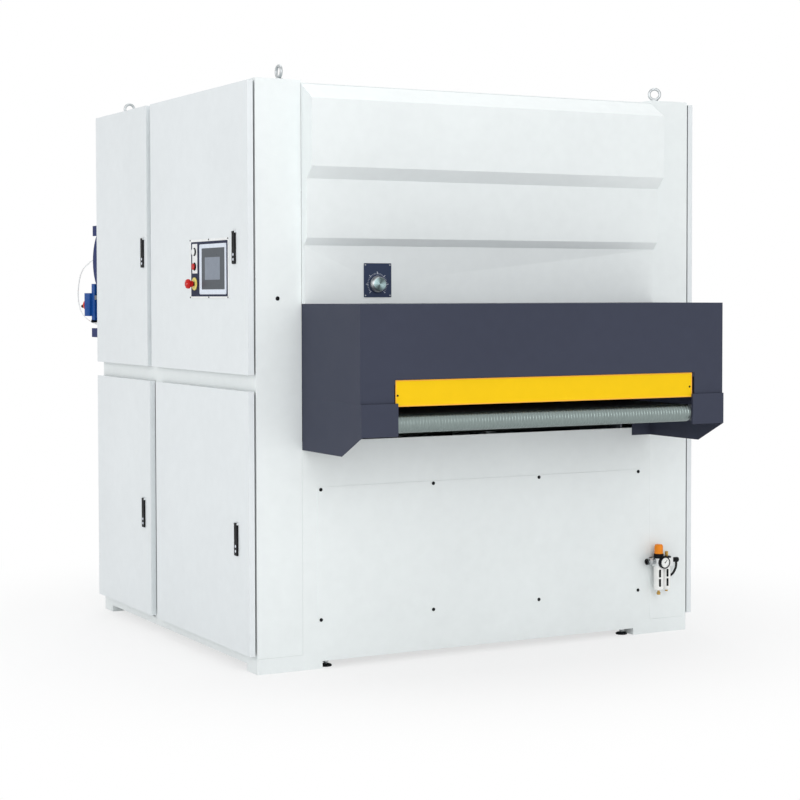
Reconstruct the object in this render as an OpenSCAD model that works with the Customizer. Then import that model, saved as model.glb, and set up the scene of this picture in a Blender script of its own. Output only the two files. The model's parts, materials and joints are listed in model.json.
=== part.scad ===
// Sheet metal deburring machine: a closed cabinet with a fixed conveyor and a lifting head.
// Millimetres. X runs across the infeed, Y from the infeed to the back, Z up.
// The origin is the middle of the four floor anchors, on the floor.

/* [Cabinet] */
// Width of the cabinet over its corner columns
body_w = 1980; // [1900:10:2100]
// Depth of the cabinet, front face to back face
body_d = 1695; // [1660:5:1800]
// Height of the cabinet to the top of the columns
body_h = 2224; // [2150:1:2400]
// Thickness of the cover sheets
sheet = 3; // [2:0.5:4]
// Height of the corner feet
foot_h = 28; // [20:1:40]
// Height of the rails of the base
base_rail_h = 30; // [24:1:40]
// Width of a front column, seen from the infeed
front_column_w = 188; // [160:1:220]
// Depth of a front column
front_column_d = 120; // [110:1:130]
// Depth of a rear column
column_d = 60; // [40:1:80]
// Height of the roof below the top of the columns
roof_drop = 10; // [4:1:20]

/* [Stepped front] */
// How far the top panel stands proud of the columns
top_step = 94; // [70:1:110]
// How far the middle panel stands proud
middle_step = 50; // [35:1:65]
// How far the bottom panel stands proud
bottom_step = 22; // [10:1:30]
// Height of the lower edge of the top panel
upper_strip_z = 1854; // [1800:1:1900]
// Height of the lower edge of the middle panel
lower_strip_z = 1605; // [1560:1:1650]

/* [Doors] */
// Thickness of a door
door_t = 23; // [18:1:30]
// Gap between a door and the cabinet, filled by its seal
door_gap = 7; // [6:0.5:9]
// Height of the lower edge of the lower doors
lower_door_z0 = 70; // [64:1:90]
// Height of the upper edge of the lower doors
lower_door_z1 = 1060; // [1000:1:1080]
// Height of the lower edge of the upper doors
upper_door_z0 = 1122; // [1110:1:1160]
// Length of a door handle
handle_h = 125; // [100:1:150]
// Width of a door handle
handle_w = 30; // [24:1:40]

/* [Infeed hood] */
// How far the hood stands out of the front
hood_reach = 481; // [440:1:520]
// Height of the top of the hood
hood_top = 1386; // [1360:1:1400]
// Height of the seam between the hood and its cheeks
hood_seam = 1031; // [1020:1:1050]
// Length of the guard flap
guard_w = 1316; // [1250:2:1320]
// Height of the guard flap
guard_h = 96; // [80:1:110]

/* [Conveyor] */
// Height of the top of the conveyor belt
pass_line = 990; // [960:1:1010]
// Width of the conveyor belt
belt_w = 1290; // [1200:10:1296]
// Thickness of the conveyor belt
belt_t = 5; // [3:0.5:6]
// Radius of the conveyor drums
drum_r = 54.7; // [45:0.1:56]
// Radius of the infeed roller
infeed_roller_r = 34.5; // [28:0.5:36]
// Height of the corner under the hood cheeks
cheek_low = 835; // [820:1:860]

/* [Head] */
// Free height between the belt and the lowest rollers
work_gap = 8; // [6:0.5:20]
// How far the head lifts
head_lift = 72; // [40:1:80]
// Radius of the contact roller without the belt
contact_r = 88; // [80:1:95]
// Distance of the tension roller's axis below the roof
tension_drop = 458.7; // [440:0.1:500]
// Radius of the brush roller
brush_r = 150; // [120:1:160]
// Radius of the pinch rollers
pinch_r = 40; // [30:1:45]
// Lead of the lifting screws
screw_lead = 10; // [5:1:12]
// Radius of the lifting screws
screw_r = 18; // [15:1:20]

/* [Rear drive] */
// Radius of the motor housing
motor_r = 135; // [120:1:140]
// Radius of the brake housing
brake_r = 155; // [142:1:160]
// Distance of the motor shaft behind the cabinet
motor_back = 158; // [156:1:175]
// Height of the motor shaft
motor_z = 1579; // [1570:1:1590]

/* [Controls] */
// Width of the control panel plate
panel_w = 388; // [380:1:400]
// Height of the control panel plate
panel_h = 231; // [224:1:240]
// Radius of the push buttons
button_r = 11; // [9:0.5:12]
// Radius of the mushroom button
mushroom_r = 19; // [17:0.5:21]
// Radius of the speed knob
speed_knob_r = 31; // [26:1:34]

/* [Connections] */
// Outer radius of the dust spigots
spigot_r = 75; // [60:1:90]
// Radius of the floor anchor holes
anchor_r = 9; // [7:0.5:12]
// Spacing of the floor anchor holes across the infeed
anchor_x = 1530; // [1500:10:1560]
// Spacing of the floor anchor holes along the feed
anchor_y = 1575; // [1540:5:1585]

/* [Hidden] */
$fn = 48;

// Clearances and overruns shared by every piece
over = 1;
running = 0.05;
air = 0.3;
turn_gap = 2;

// Planes of the cabinet
side_x = body_w / 2;
front_y = -body_d / 2;
rear_y = body_d / 2;
base_top = foot_h + base_rail_h;
roof_z = body_h - roof_drop;
column_in_x = side_x - front_column_w;
frame_t = 60;
post_w = 60;
wall = 4;

// Base
foot_w = 270;
foot_d = 98;
base_rail_w = 120;
cross_rail_w = 140;
pad_r = 24;
pad_h = 10;
stud_r = 8;
nut_r = 13;
nut_h = 12;
pad_from_foot = 32;
pad_in = 40;

// Side frame
mid_rail_z = [1045, 1135];
top_rail_h = 60;
post_y = [95, 215];
rail_t = 30;

// Front panels
slot_z = 866;
access_w = 1494;
access_h = 514;
access_x = 8;
access_z = 434;
access_t = 2;
window_margin = 24;
screw_inset_x = 13;
screw_inset_z = 9;
screw_head_r = 7;
screw_head_h = 3;
screw_shank_r = 3;
screw_columns = 4;
step_top_drop = 64;
step_top_z = roof_z - step_top_drop;

// Rear panel
outfeed_z = [960, 1060];
outfeed_x = 700;
motor_window_x = [-925, -385];
motor_window_z = [1375, 1705];
gland_x = 600;
gland_z = 400;
gland_r = 25;
spigot_x = [-260, 420];
spigot_drop = 254;
spigot_z = roof_z - spigot_drop;
spigot_l = 85;
spigot_flange_r = 100;

// Eyebolts
eye_plate_d = 90;
eye_x = 865;
eye_rear_x = 875;
eye_inset = 60;
eye_rear_inset = 47;
eye_spots = [[-eye_x, front_y + eye_inset, 90], [eye_x, front_y + eye_inset, -36],
    [-eye_rear_x, rear_y - eye_rear_inset, 0], [eye_rear_x, rear_y - eye_rear_inset, 0]];
eye_ring_r = 22;
eye_bar_r = 6;
eye_collar_r = 18;
eye_collar_h = 8;
eye_shank_r = 8;
eye_shank_l = 30;

// Hood, cheeks and guard
hood_y = front_y - hood_reach;
hood_in = front_y;
cheek_proud = 8;
cheek_front_y = hood_y - cheek_proud;
cheek_in_x = 653;
cheek_front_z = 912;
cheek_bend = 330;
cheek_bend_y = front_y - cheek_bend;
cheek_lip = 11;
cheek_back_x = 710;
guard_cut_w = 1330;
guard_rise = 84;
guard_top = hood_seam + guard_rise;
guard_recess = 6;
guard_t = 2;
guard_rod_r = 5;
guard_rod_drop = 6;
guard_ear_t = 8;
guard_ear_r = 12;

// Infeed roller and conveyor
roller_y = hood_y + infeed_roller_r;
roller_z = pass_line - infeed_roller_r + air;
roller_l = 1300;
journal_r = 12;
bed_plate_x = 656;
bed_plate_t = 8;
front_drum_y = -770;
rear_drum_y = 780;
belt_outer_r = drum_r + air + belt_t;
drum_z = pass_line - belt_outer_r;
drum_l = 1296;
bed_top = pass_line - belt_t - air;
bed_sheet = 4;
bed_skirt = 12;
bed_low_z = drum_z - belt_outer_r - bed_skirt;
table_drop = 3;
bed_high_z = pass_line - table_drop;
bed_lip_z = 925;
bed_bracket_y = -1325;
bed_front_y = front_y + sheet + turn_gap;
table_front_y = -1256;
table_gap = 4;
table_back_y = front_drum_y - belt_outer_r - table_gap;
leg_w = 70;
leg_x = 630;
leg_y = 600;
tie_w = 50;
motor_small_r = 60;
gear_motor_l = 180;
gearbox_w = 110;
gearbox_h = 150;

// Head
head_x = 700;
head_plate_t = 12;
head_y = [-620, 640];
beam_w = 60;
head_low_z = 1010;
head_over = 76.7;
front_beam_drop = 225.3;
top_beam_y = 50;
contact_y = -250;
abrasive_t = 2;
contact_z = pass_line + work_gap + contact_r + abrasive_t + air;
tension_z = roof_z - tension_drop;
belt_reach = tension_z - contact_z;
head_z = [head_low_z, tension_z + head_over];
roller_end = 45;
head_roller_l = 2 * (head_x - roller_end);
sleeve_inset = 5;
belt_sleeve_l = head_roller_l - 2 * sleeve_inset;
brush_y = 300;
brush_z = pass_line + work_gap + brush_r;
brush_core_r = 90;
brush_strips = 16;
brush_strip_t = 24;
brush_l = head_roller_l - 2 * sleeve_inset;
front_pinch_y = -540;
rear_pinch_y = 560;
pinch_z = pass_line + work_gap + pinch_r;
head_journal_r = 20;
screw_x = 780;
nut_drop = 305.3;
nut_h_block = 60;
nut_z = [tension_z - nut_drop, tension_z - nut_drop + nut_h_block];
screw_over = 18;
screw_top = nut_z[1] + head_lift + screw_over;
nut_block_w = 90;
nut_block_d = 100;

// Rear drive
motor_y = rear_y + motor_back;
motor_x = [-790, -420];
foot_plate_z = [1400, 1420];
foot_plate_x = [-800, -400];
unit_x = [-930, -890];
motor_shaft_r = 21;
pulley_r = 60;
brush_pulley_r = 120;
pulley_w = 24;
contact_pulley_x = -868;
brush_pulley_x = -834;
vbelt_t = 9;
vbelt_w = 16;
vbelt_sides = 32;
fin_count = 30;
fin_h = 9;
fin_t = 5;
fin_root = 27;
arm_clear = 27;
shield_l = 36;
fan_cover_l = 81;
unit_box_rise = [118, 165];
box_proud = 10;
brake_cap_z = 1375;
brake_tip_z = 1369;
tie_bar_r = 8;
terminal_w = 150;
terminal_h = 50;
brake_plate_t = 14;
brake_box_y = [1183, 1257];
brake_box_z = [1323, 1431];
brake_back_z = [1305, 1474];
brake_low_z = [1225, 1267];
cap_r = 28;
cap_h = 13;
tip_r = 6;
tip_h = 22;
fitting_r = 7;
fitting_l = 24;
tube_r = 3;

// Route of the thin air tube, from the brake housing down to the lower block
tube_route = [[-910, 1185, 1587], [-910, 1215, 1586], [-910, 1250, 1580], [-910, 1288, 1569],
    [-910, 1335, 1556], [-910, 1381, 1533], [-910, 1415, 1500], [-910, 1434, 1455],
    [-910, 1439, 1420], [-910, 1430, 1385], [-910, 1405, 1352], [-910, 1365, 1328],
    [-910, 1295, 1306], [-910, 1222, 1291], [-910, 1170, 1286], [-910, 1130, 1284]];

// Doors
door_x = side_x + door_gap;
door_out = door_x + door_t;
door_skin = 2;
door_lip = 3;
front_split_upper = [160, 208];
front_split_lower = [115, 183];
upper_door_z1 = roof_z;
hinge_in = 8;
hinge_out = 16;
hinge_pin_r = 5;
hinge_arm_h = 8;
hinge_pin_h = 26;
hinge_inset = 140;
hinge_lug_r = 8;
hinge_lug_h = 22;
hinge_gap = 0.5;
notch_h = 46;
handle_t = 6;
handle_pin_r = 1.5;
ear_w = 4;
upper_handle_z = 1661;
lower_handle_z = 561;
tall_handle_z = 1150;
front_upper_handle_y = -721;
rear_upper_handle_y = 255;
front_lower_handle_y = -730;
rear_lower_handle_y = 260;

// Control panel, on the front upper door
panel_y = -475;
panel_z = 1523;
panel_t = 3;
screen_w = 280;
screen_h = 199;
screen_y = -515;
screen_z = 1520;
screen_t = 8;
screen_rim = 18;
button_y = -332;
start_z = 1590;
stop_z = 1532;
estop_z = 1464;
ring_r = 14.5;
ring_h = 3;
button_h = 6;
button_travel = 4;
stem_r = 8;
stem_l = 14;
estop_ring_r = 25;
estop_ring_h = 5;
estop_neck_r = 12;
estop_reach = 42;
estop_cap_h = 16;

// Speed dial
dial_x = -494;
dial_z = 1475;
dial_w = 122;
dial_h = 130;
dial_t = 3;
knob_x = -494;
knob_z = 1460;
knob_h = 24;
knob_shaft_r = 5;
knob_grip_share = 0.6;
knob_skirt_share = 0.33;

// Air preparation unit
unit_reach = 40;
unit_y = front_y - unit_reach;
regulator_x = 820;
oiler_x = 860;
head_block = 42;
unit_z = [286, 320];
bowl_r = 21;
small_bowl_r = 17;
bowl_low = 186;
drain_r = 8;
drain_low = 166;
air_knob_r = 18;
air_knob_z = [338, 377];
gauge_r = 28;
gauge_z = 299;
gauge_x = 848;
valve_r = 9;
valve_z = 308;
valve_x = [757, 799];
sleeve_r = 15;
sleeve_x = [768, 784];
hose_r = 5;
bracket_t = 4;
rail_h = 16;
gauge_l = 16;
oil_knob_h = 27;
inlet_r = 6;
inlet_l = 12;
elbow_low = 298;
hose_route = [[910, -887.5, 297.7], [910, -887.5, 288], [909, -887, 276], [905, -885, 264],
    [899, -882, 252], [893, -876, 243], [888, -868, 238], [885, -860, 236], [885, -851, 236]];

// Electrical plate
plate_x = 885;
plate_y = [-715, 215];
plate_z = [1180, 2060];

// Lifting gear
worm_w = 120;
worm_h = 96;
worm_bore = 40;
shaft_box = 36;
lift_motor_l = 240;

module block(x, y, z)
    translate([x[0], y[0], z[0]]) cube([x[1] - x[0], y[1] - y[0], z[1] - z[0]]);

module x_rod(r, x, y, z)
    translate([x[0], y, z]) rotate([0, 90, 0]) cylinder(r = r, h = x[1] - x[0]);

module y_rod(r, x, y, z)
    translate([x, y[0], z]) rotate([-90, 0, 0]) cylinder(r = r, h = y[1] - y[0]);

module z_rod(r, x, y, z)
    translate([x, y, z[0]]) cylinder(r = r, h = z[1] - z[0]);

// Everything for the left side is drawn there and mirrored for the right side
module on_side(s) {
    if (s < 0) children();
    else mirror([1, 0, 0]) children();
}

module box_tube(x, y, z)
    difference() {
        block(x, y, z);
        block([x[0] + wall, x[1] - wall], [y[0] + wall, y[1] - wall], [z[0] - over, z[1] - wall]);
    }

// Sweeps a round tube along a route as one polyhedron
function unit(v) = v / norm(v);
function heading(p, i) = unit(p[min(i + 1, len(p) - 1)] - p[max(i - 1, 0)]);
function ring(p, i, r, n) =
    let (t = heading(p, i), a = [1, 0, 0], b = unit(cross(t, a)), c = cross(b, t))
    [for (k = [0:n - 1]) p[i] + r * (cos(360 * k / n) * c + sin(360 * k / n) * b)];

module swept_tube(p, r, n) {
    points = [for (i = [0:len(p) - 1]) for (q = ring(p, i, r, n)) q];
    last = (len(p) - 1) * n;
    faces = concat(
        [[for (k = [0:n - 1]) k]],
        [[for (k = [n - 1:-1:0]) last + k]],
        [for (i = [0:len(p) - 2]) for (k = [0:n - 1])
            [i * n + k, (i + 1) * n + k, (i + 1) * n + (k + 1) % n]],
        [for (i = [0:len(p) - 2]) for (k = [0:n - 1])
            [i * n + k, (i + 1) * n + (k + 1) % n, i * n + (k + 1) % n]]);
    polyhedron(points = points, faces = faces);
}

module base_frame() color("whitesmoke") difference() {
    union() {
        for (s = [-1, 1]) on_side(s) {
            block([-side_x, -side_x + base_rail_w], [front_y, rear_y], [foot_h, base_top]);
            for (y = [[front_y, front_y + foot_d], [rear_y - foot_d, rear_y]])
                block([-side_x, -side_x + foot_w], y, [0, base_top]);
        }
        for (y = [[front_y, front_y + base_rail_w], [rear_y - base_rail_w, rear_y],
                  [-cross_rail_w / 2, cross_rail_w / 2],
                  [-leg_y - cross_rail_w / 2, -leg_y + cross_rail_w / 2],
                  [leg_y - cross_rail_w / 2, leg_y + cross_rail_w / 2]])
            block([-side_x + base_rail_w, side_x - base_rail_w], y, [foot_h, base_top]);
        block([-side_x + over, side_x - over], [front_y + over, rear_y - over],
              [foot_h, foot_h + sheet]);
    }
    for (x = [-1, 1], y = [-1, 1])
        z_rod(anchor_r, x * anchor_x / 2, y * anchor_y / 2, [-over, base_top + over]);
    for (x = [-1, 1], y = [-1, 1])
        z_rod(stud_r + air, x * pad_x, y * pad_y, [-over, base_top + over]);
}

pad_x = side_x - foot_w - pad_from_foot;
pad_y = rear_y - pad_in;

module levelling_feet() color("dimgray")
    for (x = [-1, 1], y = [-1, 1]) {
        z_rod(pad_r, x * pad_x, y * pad_y, [0, pad_h]);
        z_rod(stud_r, x * pad_x, y * pad_y, [0, base_top + nut_h + pad_h]);
        z_rod(nut_r, x * pad_x, y * pad_y, [base_top, base_top + nut_h], $fn = 6);
        z_rod(nut_r, x * pad_x, y * pad_y, [foot_h - nut_h, foot_h], $fn = 6);
    }

module body_frame() color("whitesmoke")
    for (s = [-1, 1]) on_side(s) {
        box_tube([-side_x, -column_in_x], [front_y, front_y + front_column_d], [base_top, body_h]);
        box_tube([-side_x, -side_x + post_w], [rear_y - column_d, rear_y], [base_top, body_h]);
        block([-side_x, -column_in_x], [rear_y - eye_plate_d, rear_y], [roof_z, body_h]);
        box_tube([-side_x, -side_x + frame_t], post_y, [base_top, roof_z - sheet]);
        for (z = [mid_rail_z, [roof_z - sheet - top_rail_h, roof_z - sheet]],
             y = [[front_y + front_column_d, post_y[0]], [post_y[1], rear_y - column_d]])
            block([-side_x, -side_x + rail_t], y, z);
    }

module lower_front_panel() color("whitesmoke") difference() {
    block([-column_in_x, column_in_x], [front_y, front_y + sheet], [base_top, slot_z]);
    block([access_x - access_w / 2 + window_margin, access_x + access_w / 2 - window_margin],
          [front_y - over, front_y + sheet + over],
          [access_z - access_h / 2 + window_margin, access_z + access_h / 2 - window_margin]);
    for (x = screw_xs, z = screw_zs)
        y_rod(screw_shank_r + air, x, [front_y - over, front_y + sheet + over], z);
}

screw_pitch = (access_w - 2 * screw_inset_x) / (screw_columns - 1);
screw_xs = [for (i = [0:screw_columns - 1]) access_x - access_w / 2 + screw_inset_x + i * screw_pitch];
screw_zs = [access_z - access_h / 2 + screw_inset_z, access_z + access_h / 2 - screw_inset_z];

module access_panel() color("whitesmoke") difference() {
    block([access_x - access_w / 2, access_x + access_w / 2], [front_y - access_t, front_y],
          [access_z - access_h / 2, access_z + access_h / 2]);
    for (x = screw_xs, z = screw_zs)
        y_rod(screw_shank_r + air, x, [front_y - access_t - over, front_y + over], z);
}

module panel_screws() color("black")
    for (x = screw_xs, z = screw_zs) {
        y_rod(screw_shank_r, x, [front_y - access_t, front_y + sheet + access_t], z);
        y_rod(screw_head_r, x, [front_y - access_t - screw_head_h, front_y - access_t], z);
    }

// Outer profile of the stepped front, in distance out of the front plane and height
step_profile = [[0, roof_z - sheet], [top_step, step_top_z],
    [top_step, upper_strip_z + top_step - middle_step], [middle_step, upper_strip_z],
    [middle_step, lower_strip_z + middle_step - bottom_step], [bottom_step, lower_strip_z],
    [bottom_step, hood_top], [0, hood_top]];
step_inner = [[-over, roof_z - sheet - sheet], [top_step - sheet, step_top_z - sheet],
    [top_step - sheet, upper_strip_z + top_step - middle_step + sheet],
    [middle_step - sheet, upper_strip_z + sheet],
    [middle_step - sheet, lower_strip_z + middle_step - bottom_step + sheet],
    [bottom_step - sheet, lower_strip_z + sheet], [bottom_step - sheet, hood_top + sheet],
    [-over, hood_top + sheet]];

module across(w)
    translate([-w / 2, front_y, 0]) rotate([90, 0, 90]) linear_extrude(w)
        mirror([1, 0]) children();

module upper_front_panel() color("whitesmoke") difference() {
    across(2 * column_in_x) polygon(step_profile);
    across(2 * (column_in_x - sheet)) polygon(step_inner);
    y_rod(knob_shaft_r + turn_gap, knob_x,
          [front_y - bottom_step - over, front_y - bottom_step + sheet + over], knob_z);
}

module roof_panel() color("whitesmoke") {
    block([-side_x, side_x], [front_y + front_column_d, rear_y - column_d], [roof_z - sheet, roof_z]);
    block([-column_in_x, column_in_x], [front_y, front_y + front_column_d], [roof_z - sheet, roof_z]);
    block([-side_x + post_w, side_x - post_w], [rear_y - column_d, rear_y],
          [roof_z - sheet, roof_z]);
}

module rear_panel() color("whitesmoke") difference() {
    block([-side_x + post_w, side_x - post_w], [rear_y - sheet, rear_y],
          [base_top, roof_z - sheet]);
    block([-outfeed_x, outfeed_x], [rear_y - sheet - over, rear_y + over], outfeed_z);
    block(motor_window_x, [rear_y - sheet - over, rear_y + over], motor_window_z);
    y_rod(gland_r, gland_x, [rear_y - sheet - over, rear_y + over], gland_z);
    for (x = spigot_x)
        y_rod(spigot_r - sheet, x, [rear_y - sheet - over, rear_y + over], spigot_z);
}

module dust_spigots() color("silver")
    for (x = spigot_x) difference() {
        union() {
            y_rod(spigot_flange_r, x, [rear_y, rear_y + sheet], spigot_z);
            y_rod(spigot_r, x, [rear_y, rear_y + spigot_l], spigot_z);
        }
        y_rod(spigot_r - sheet, x, [rear_y - over, rear_y + spigot_l + over], spigot_z);
    }

module eyebolts() color("silver")
    for (e = eye_spots) translate([e[0], e[1], body_h]) rotate(e[2]) {
        cylinder(r = eye_collar_r, h = eye_collar_h);
        translate([0, 0, eye_collar_h + eye_ring_r + eye_bar_r / 2]) rotate([90, 0, 0])
            rotate_extrude() translate([eye_ring_r, 0]) circle(r = eye_bar_r, $fn = 24);
    }

module infeed_hood() color("darkslategray") difference() {
    union() {
        block([-column_in_x, column_in_x], [hood_y, front_y], [hood_top - sheet, hood_top]);
        block([-column_in_x, column_in_x], [hood_y, hood_y + sheet], [hood_seam, hood_top]);
        for (s = [-1, 1]) on_side(s) {
            block([-column_in_x, -column_in_x + sheet], [hood_y, front_y], [hood_seam, hood_top]);
            block([-guard_w / 2 - guard_ear_t - turn_gap / 2, -guard_w / 2 - turn_gap / 2],
                  [hood_y + sheet, hood_y + sheet + 2 * guard_ear_r],
                  [guard_rod_z - guard_ear_r, guard_top + guard_ear_r]);
        }
    }
    block([-guard_cut_w / 2, guard_cut_w / 2], [hood_y - over, hood_y + sheet + over],
          [hood_seam - over, guard_top]);
    x_rod(guard_rod_r + running, [-guard_w / 2 - guard_ear_t - over - turn_gap,
          guard_w / 2 + guard_ear_t + over + turn_gap], guard_rod_y, guard_rod_z);
}

guard_rod_y = hood_y + guard_recess + guard_t + guard_rod_r;
guard_rod_z = guard_top - guard_rod_drop;

module guard_flap() color("gold") {
    block([-guard_w / 2, guard_w / 2], [hood_y + guard_recess, hood_y + guard_recess + guard_t],
          [guard_top - over - guard_h, guard_top - over]);
    x_rod(guard_rod_r, [-guard_w / 2 - guard_ear_t, guard_w / 2 + guard_ear_t],
          guard_rod_y, guard_rod_z);
}

cheek_profile = [[0, hood_seam], [hood_reach + cheek_proud, hood_seam],
    [hood_reach + cheek_proud, cheek_front_z], [front_y - cheek_bend_y, cheek_low],
    [0, cheek_low]];

module hood_cheeks() color("darkslategray")
    for (s = [-1, 1]) on_side(s) {
        translate([-column_in_x, front_y, 0]) rotate([90, 0, 90]) linear_extrude(sheet)
            mirror([1, 0]) polygon(cheek_profile);
        block([-column_in_x, -cheek_in_x], [cheek_front_y, cheek_front_y + sheet],
              [cheek_front_z, hood_seam]);
        block([-cheek_in_x - sheet, -cheek_in_x], [cheek_front_y, cheek_front_y + cheek_lip],
              [cheek_front_z, hood_seam]);
        block([-column_in_x, -cheek_back_x], [front_y - sheet, front_y],
              [cheek_low, hood_seam]);
    }

module infeed_roller() color("slategray") {
    x_rod(infeed_roller_r, [-roller_l / 2, roller_l / 2], roller_y, roller_z);
    x_rod(journal_r, [-bed_plate_x - bed_plate_t, bed_plate_x + bed_plate_t], roller_y, roller_z);
}

module conveyor_bed() color("dimgray") difference() {
    union() {
        for (s = [-1, 1]) on_side(s) {
            block([-bed_plate_x - bed_plate_t, -bed_plate_x], [bed_bracket_y, bed_front_y + over],
                  [bed_lip_z, bed_high_z]);
            block([-bed_plate_x - bed_plate_t, -bed_plate_x],
                  [bed_front_y, rear_drum_y + belt_outer_r - turn_gap],
                  [bed_low_z, bed_high_z]);
            for (y = [-leg_y, leg_y])
                block([-leg_x - leg_w / 2, -leg_x + leg_w / 2], [y - leg_w / 2, y + leg_w / 2],
                      [base_top, bed_low_z]);
            block([-leg_x - leg_w / 2, -leg_x + leg_w / 2], [-leg_y - leg_w / 2, leg_y + leg_w / 2],
                  [bed_low_z - tie_w, bed_low_z]);
        }
        block([-bed_plate_x - over, bed_plate_x + over],
              [front_drum_y + drum_r + tie_w / 2, rear_drum_y - drum_r - tie_w / 2],
              [bed_top - bed_sheet, bed_top]);
        block([-bed_plate_x - over, bed_plate_x + over], [table_front_y, table_back_y],
              [pass_line - table_drop - sheet, pass_line - table_drop]);
    }
    x_rod(journal_r + running, [-head_x, head_x], roller_y, roller_z);
    x_rod(journal_r + running, [-head_x, head_x], front_drum_y, drum_z);
    x_rod(journal_r + running, [-head_x, head_x], rear_drum_y, drum_z);
}

module conveyor_belt() color("darkslategray")
    translate([-belt_w / 2, 0, 0]) rotate([90, 0, 90]) linear_extrude(belt_w) difference() {
        belt_outline(belt_outer_r);
        belt_outline(belt_outer_r - belt_t);
    }

module belt_outline(r) {
    translate([front_drum_y, drum_z]) circle(r = r);
    translate([rear_drum_y, drum_z]) circle(r = r);
    translate([front_drum_y, drum_z - r]) square([rear_drum_y - front_drum_y, 2 * r]);
}

module drum(y, tail) {
    x_rod(drum_r, [-drum_l / 2, drum_l / 2], y, drum_z);
    x_rod(journal_r, [-bed_plate_x - bed_plate_t, bed_plate_x + bed_plate_t + tail], y, drum_z);
}

module front_drum() color("gray") drum(front_drum_y, 0);
module rear_drum() color("gray") drum(rear_drum_y, gearbox_w - leg_w / 2);

module conveyor_gearmotor() color("royalblue") difference() {
    union() {
        block([bed_plate_x + bed_plate_t, bed_plate_x + bed_plate_t + gearbox_w],
              [rear_drum_y - gearbox_w / 2, rear_drum_y + gearbox_w / 2],
              [drum_z - gearbox_h / 2, drum_z + gearbox_h / 2 - belt_outer_r / 2]);
        y_rod(motor_small_r, bed_plate_x + bed_plate_t + motor_small_r,
              [rear_drum_y - gearbox_w / 2 - gear_motor_l, rear_drum_y - gearbox_w / 2],
              drum_z - motor_small_r / 2);
    }
    x_rod(journal_r + running, [bed_plate_x, bed_plate_x + bed_plate_t + gearbox_w - leg_w / 2 + air],
          rear_drum_y, drum_z);
}

module head_frame() color("gray") difference() {
    union() {
        for (s = [-1, 1]) on_side(s) {
            block([-head_x - head_plate_t, -head_x], head_y, head_z);
            block([-screw_x - nut_block_w / 2, -head_x - head_plate_t],
                  [-nut_block_d / 2, nut_block_d / 2], nut_z);
        }
        for (p = [[head_y[0] + beam_w / 2, tension_z - front_beam_drop],
                  [head_y[1] - beam_w / 2, foot_plate_z[0] + beam_w / 2],
                  [top_beam_y, head_z[1] - beam_w / 2]])
            block([-head_x - over, head_x + over], [p[0] - beam_w / 2, p[0] + beam_w / 2],
                  [p[1] - beam_w / 2, p[1] + beam_w / 2]);
        block(foot_plate_x, [head_y[1] - over, motor_y + motor_r], foot_plate_z);
        block([unit_x[0], foot_plate_x[0] + over], [motor_y + pulley_r + arm_clear, motor_y + motor_r],
              foot_plate_z);
    }
    for (s = [-1, 1])
        z_rod(screw_r + running, s * screw_x, 0, [nut_z[0] - over, nut_z[1] + over]);
    for (p = [[contact_y, contact_z, head_journal_r], [contact_y, tension_z, head_journal_r],
              [brush_y, brush_z, head_journal_r], [front_pinch_y, pinch_z, journal_r],
              [rear_pinch_y, pinch_z, journal_r]])
        x_rod(p[2] + running, [-head_x - head_plate_t - over, head_x + head_plate_t + over],
              p[0], p[1]);
}

module head_roller(r, l, jr, y, z) {
    x_rod(r, [-l / 2, l / 2], y, z);
    x_rod(jr, [-head_x - head_plate_t, head_x + head_plate_t], y, z);
}

// A pulley with a flat groove for one belt
module pulley(r, x, y, z) {
    x_rod(r, [x - pulley_w / 2, x + pulley_w / 2], y, z);
    for (s = [-1, 1])
        x_rod(r + vbelt_t / 2, [x + s * pulley_w / 2 - sheet / 2, x + s * pulley_w / 2 + sheet / 2],
              y, z);
}

module contact_roller() color("black") {
    head_roller(contact_r, head_roller_l, head_journal_r, contact_y, contact_z);
    x_rod(head_journal_r, [contact_pulley_x - pulley_w, -head_x], contact_y, contact_z);
    pulley(pulley_r, contact_pulley_x, contact_y, contact_z);
}

module tension_roller() color("silver")
    head_roller(contact_r, head_roller_l, head_journal_r, contact_y, tension_z);

module abrasive_belt() color("saddlebrown")
    translate([-belt_sleeve_l / 2, 0, 0]) rotate([90, 0, 90]) linear_extrude(belt_sleeve_l)
        difference() {
            sleeve_outline(contact_r + air + abrasive_t);
            sleeve_outline(contact_r + air);
        }

module sleeve_outline(r) {
    translate([contact_y, contact_z]) circle(r = r, $fn = 72);
    translate([contact_y, tension_z]) circle(r = r, $fn = 72);
    translate([contact_y - r, contact_z]) square([2 * r, belt_reach]);
}

module brush_roller() color("peru") {
    x_rod(brush_core_r, [-brush_l / 2, brush_l / 2], brush_y, brush_z);
    x_rod(head_journal_r, [brush_pulley_x - pulley_w, head_x + head_plate_t], brush_y, brush_z);
    pulley(brush_pulley_r, brush_pulley_x, brush_y, brush_z);
    for (i = [0:brush_strips - 1])
        translate([-brush_l / 2, brush_y, brush_z]) rotate([i * 360 / brush_strips, 0, 0])
            translate([0, -brush_strip_t / 2, brush_core_r - over])
                cube([brush_l, brush_strip_t, brush_r - brush_core_r]);
}

module front_pinch_roller() color("dimgray")
    head_roller(pinch_r, head_roller_l, journal_r, front_pinch_y, pinch_z);
module rear_pinch_roller() color("dimgray")
    head_roller(pinch_r, head_roller_l, journal_r, rear_pinch_y, pinch_z);

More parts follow.
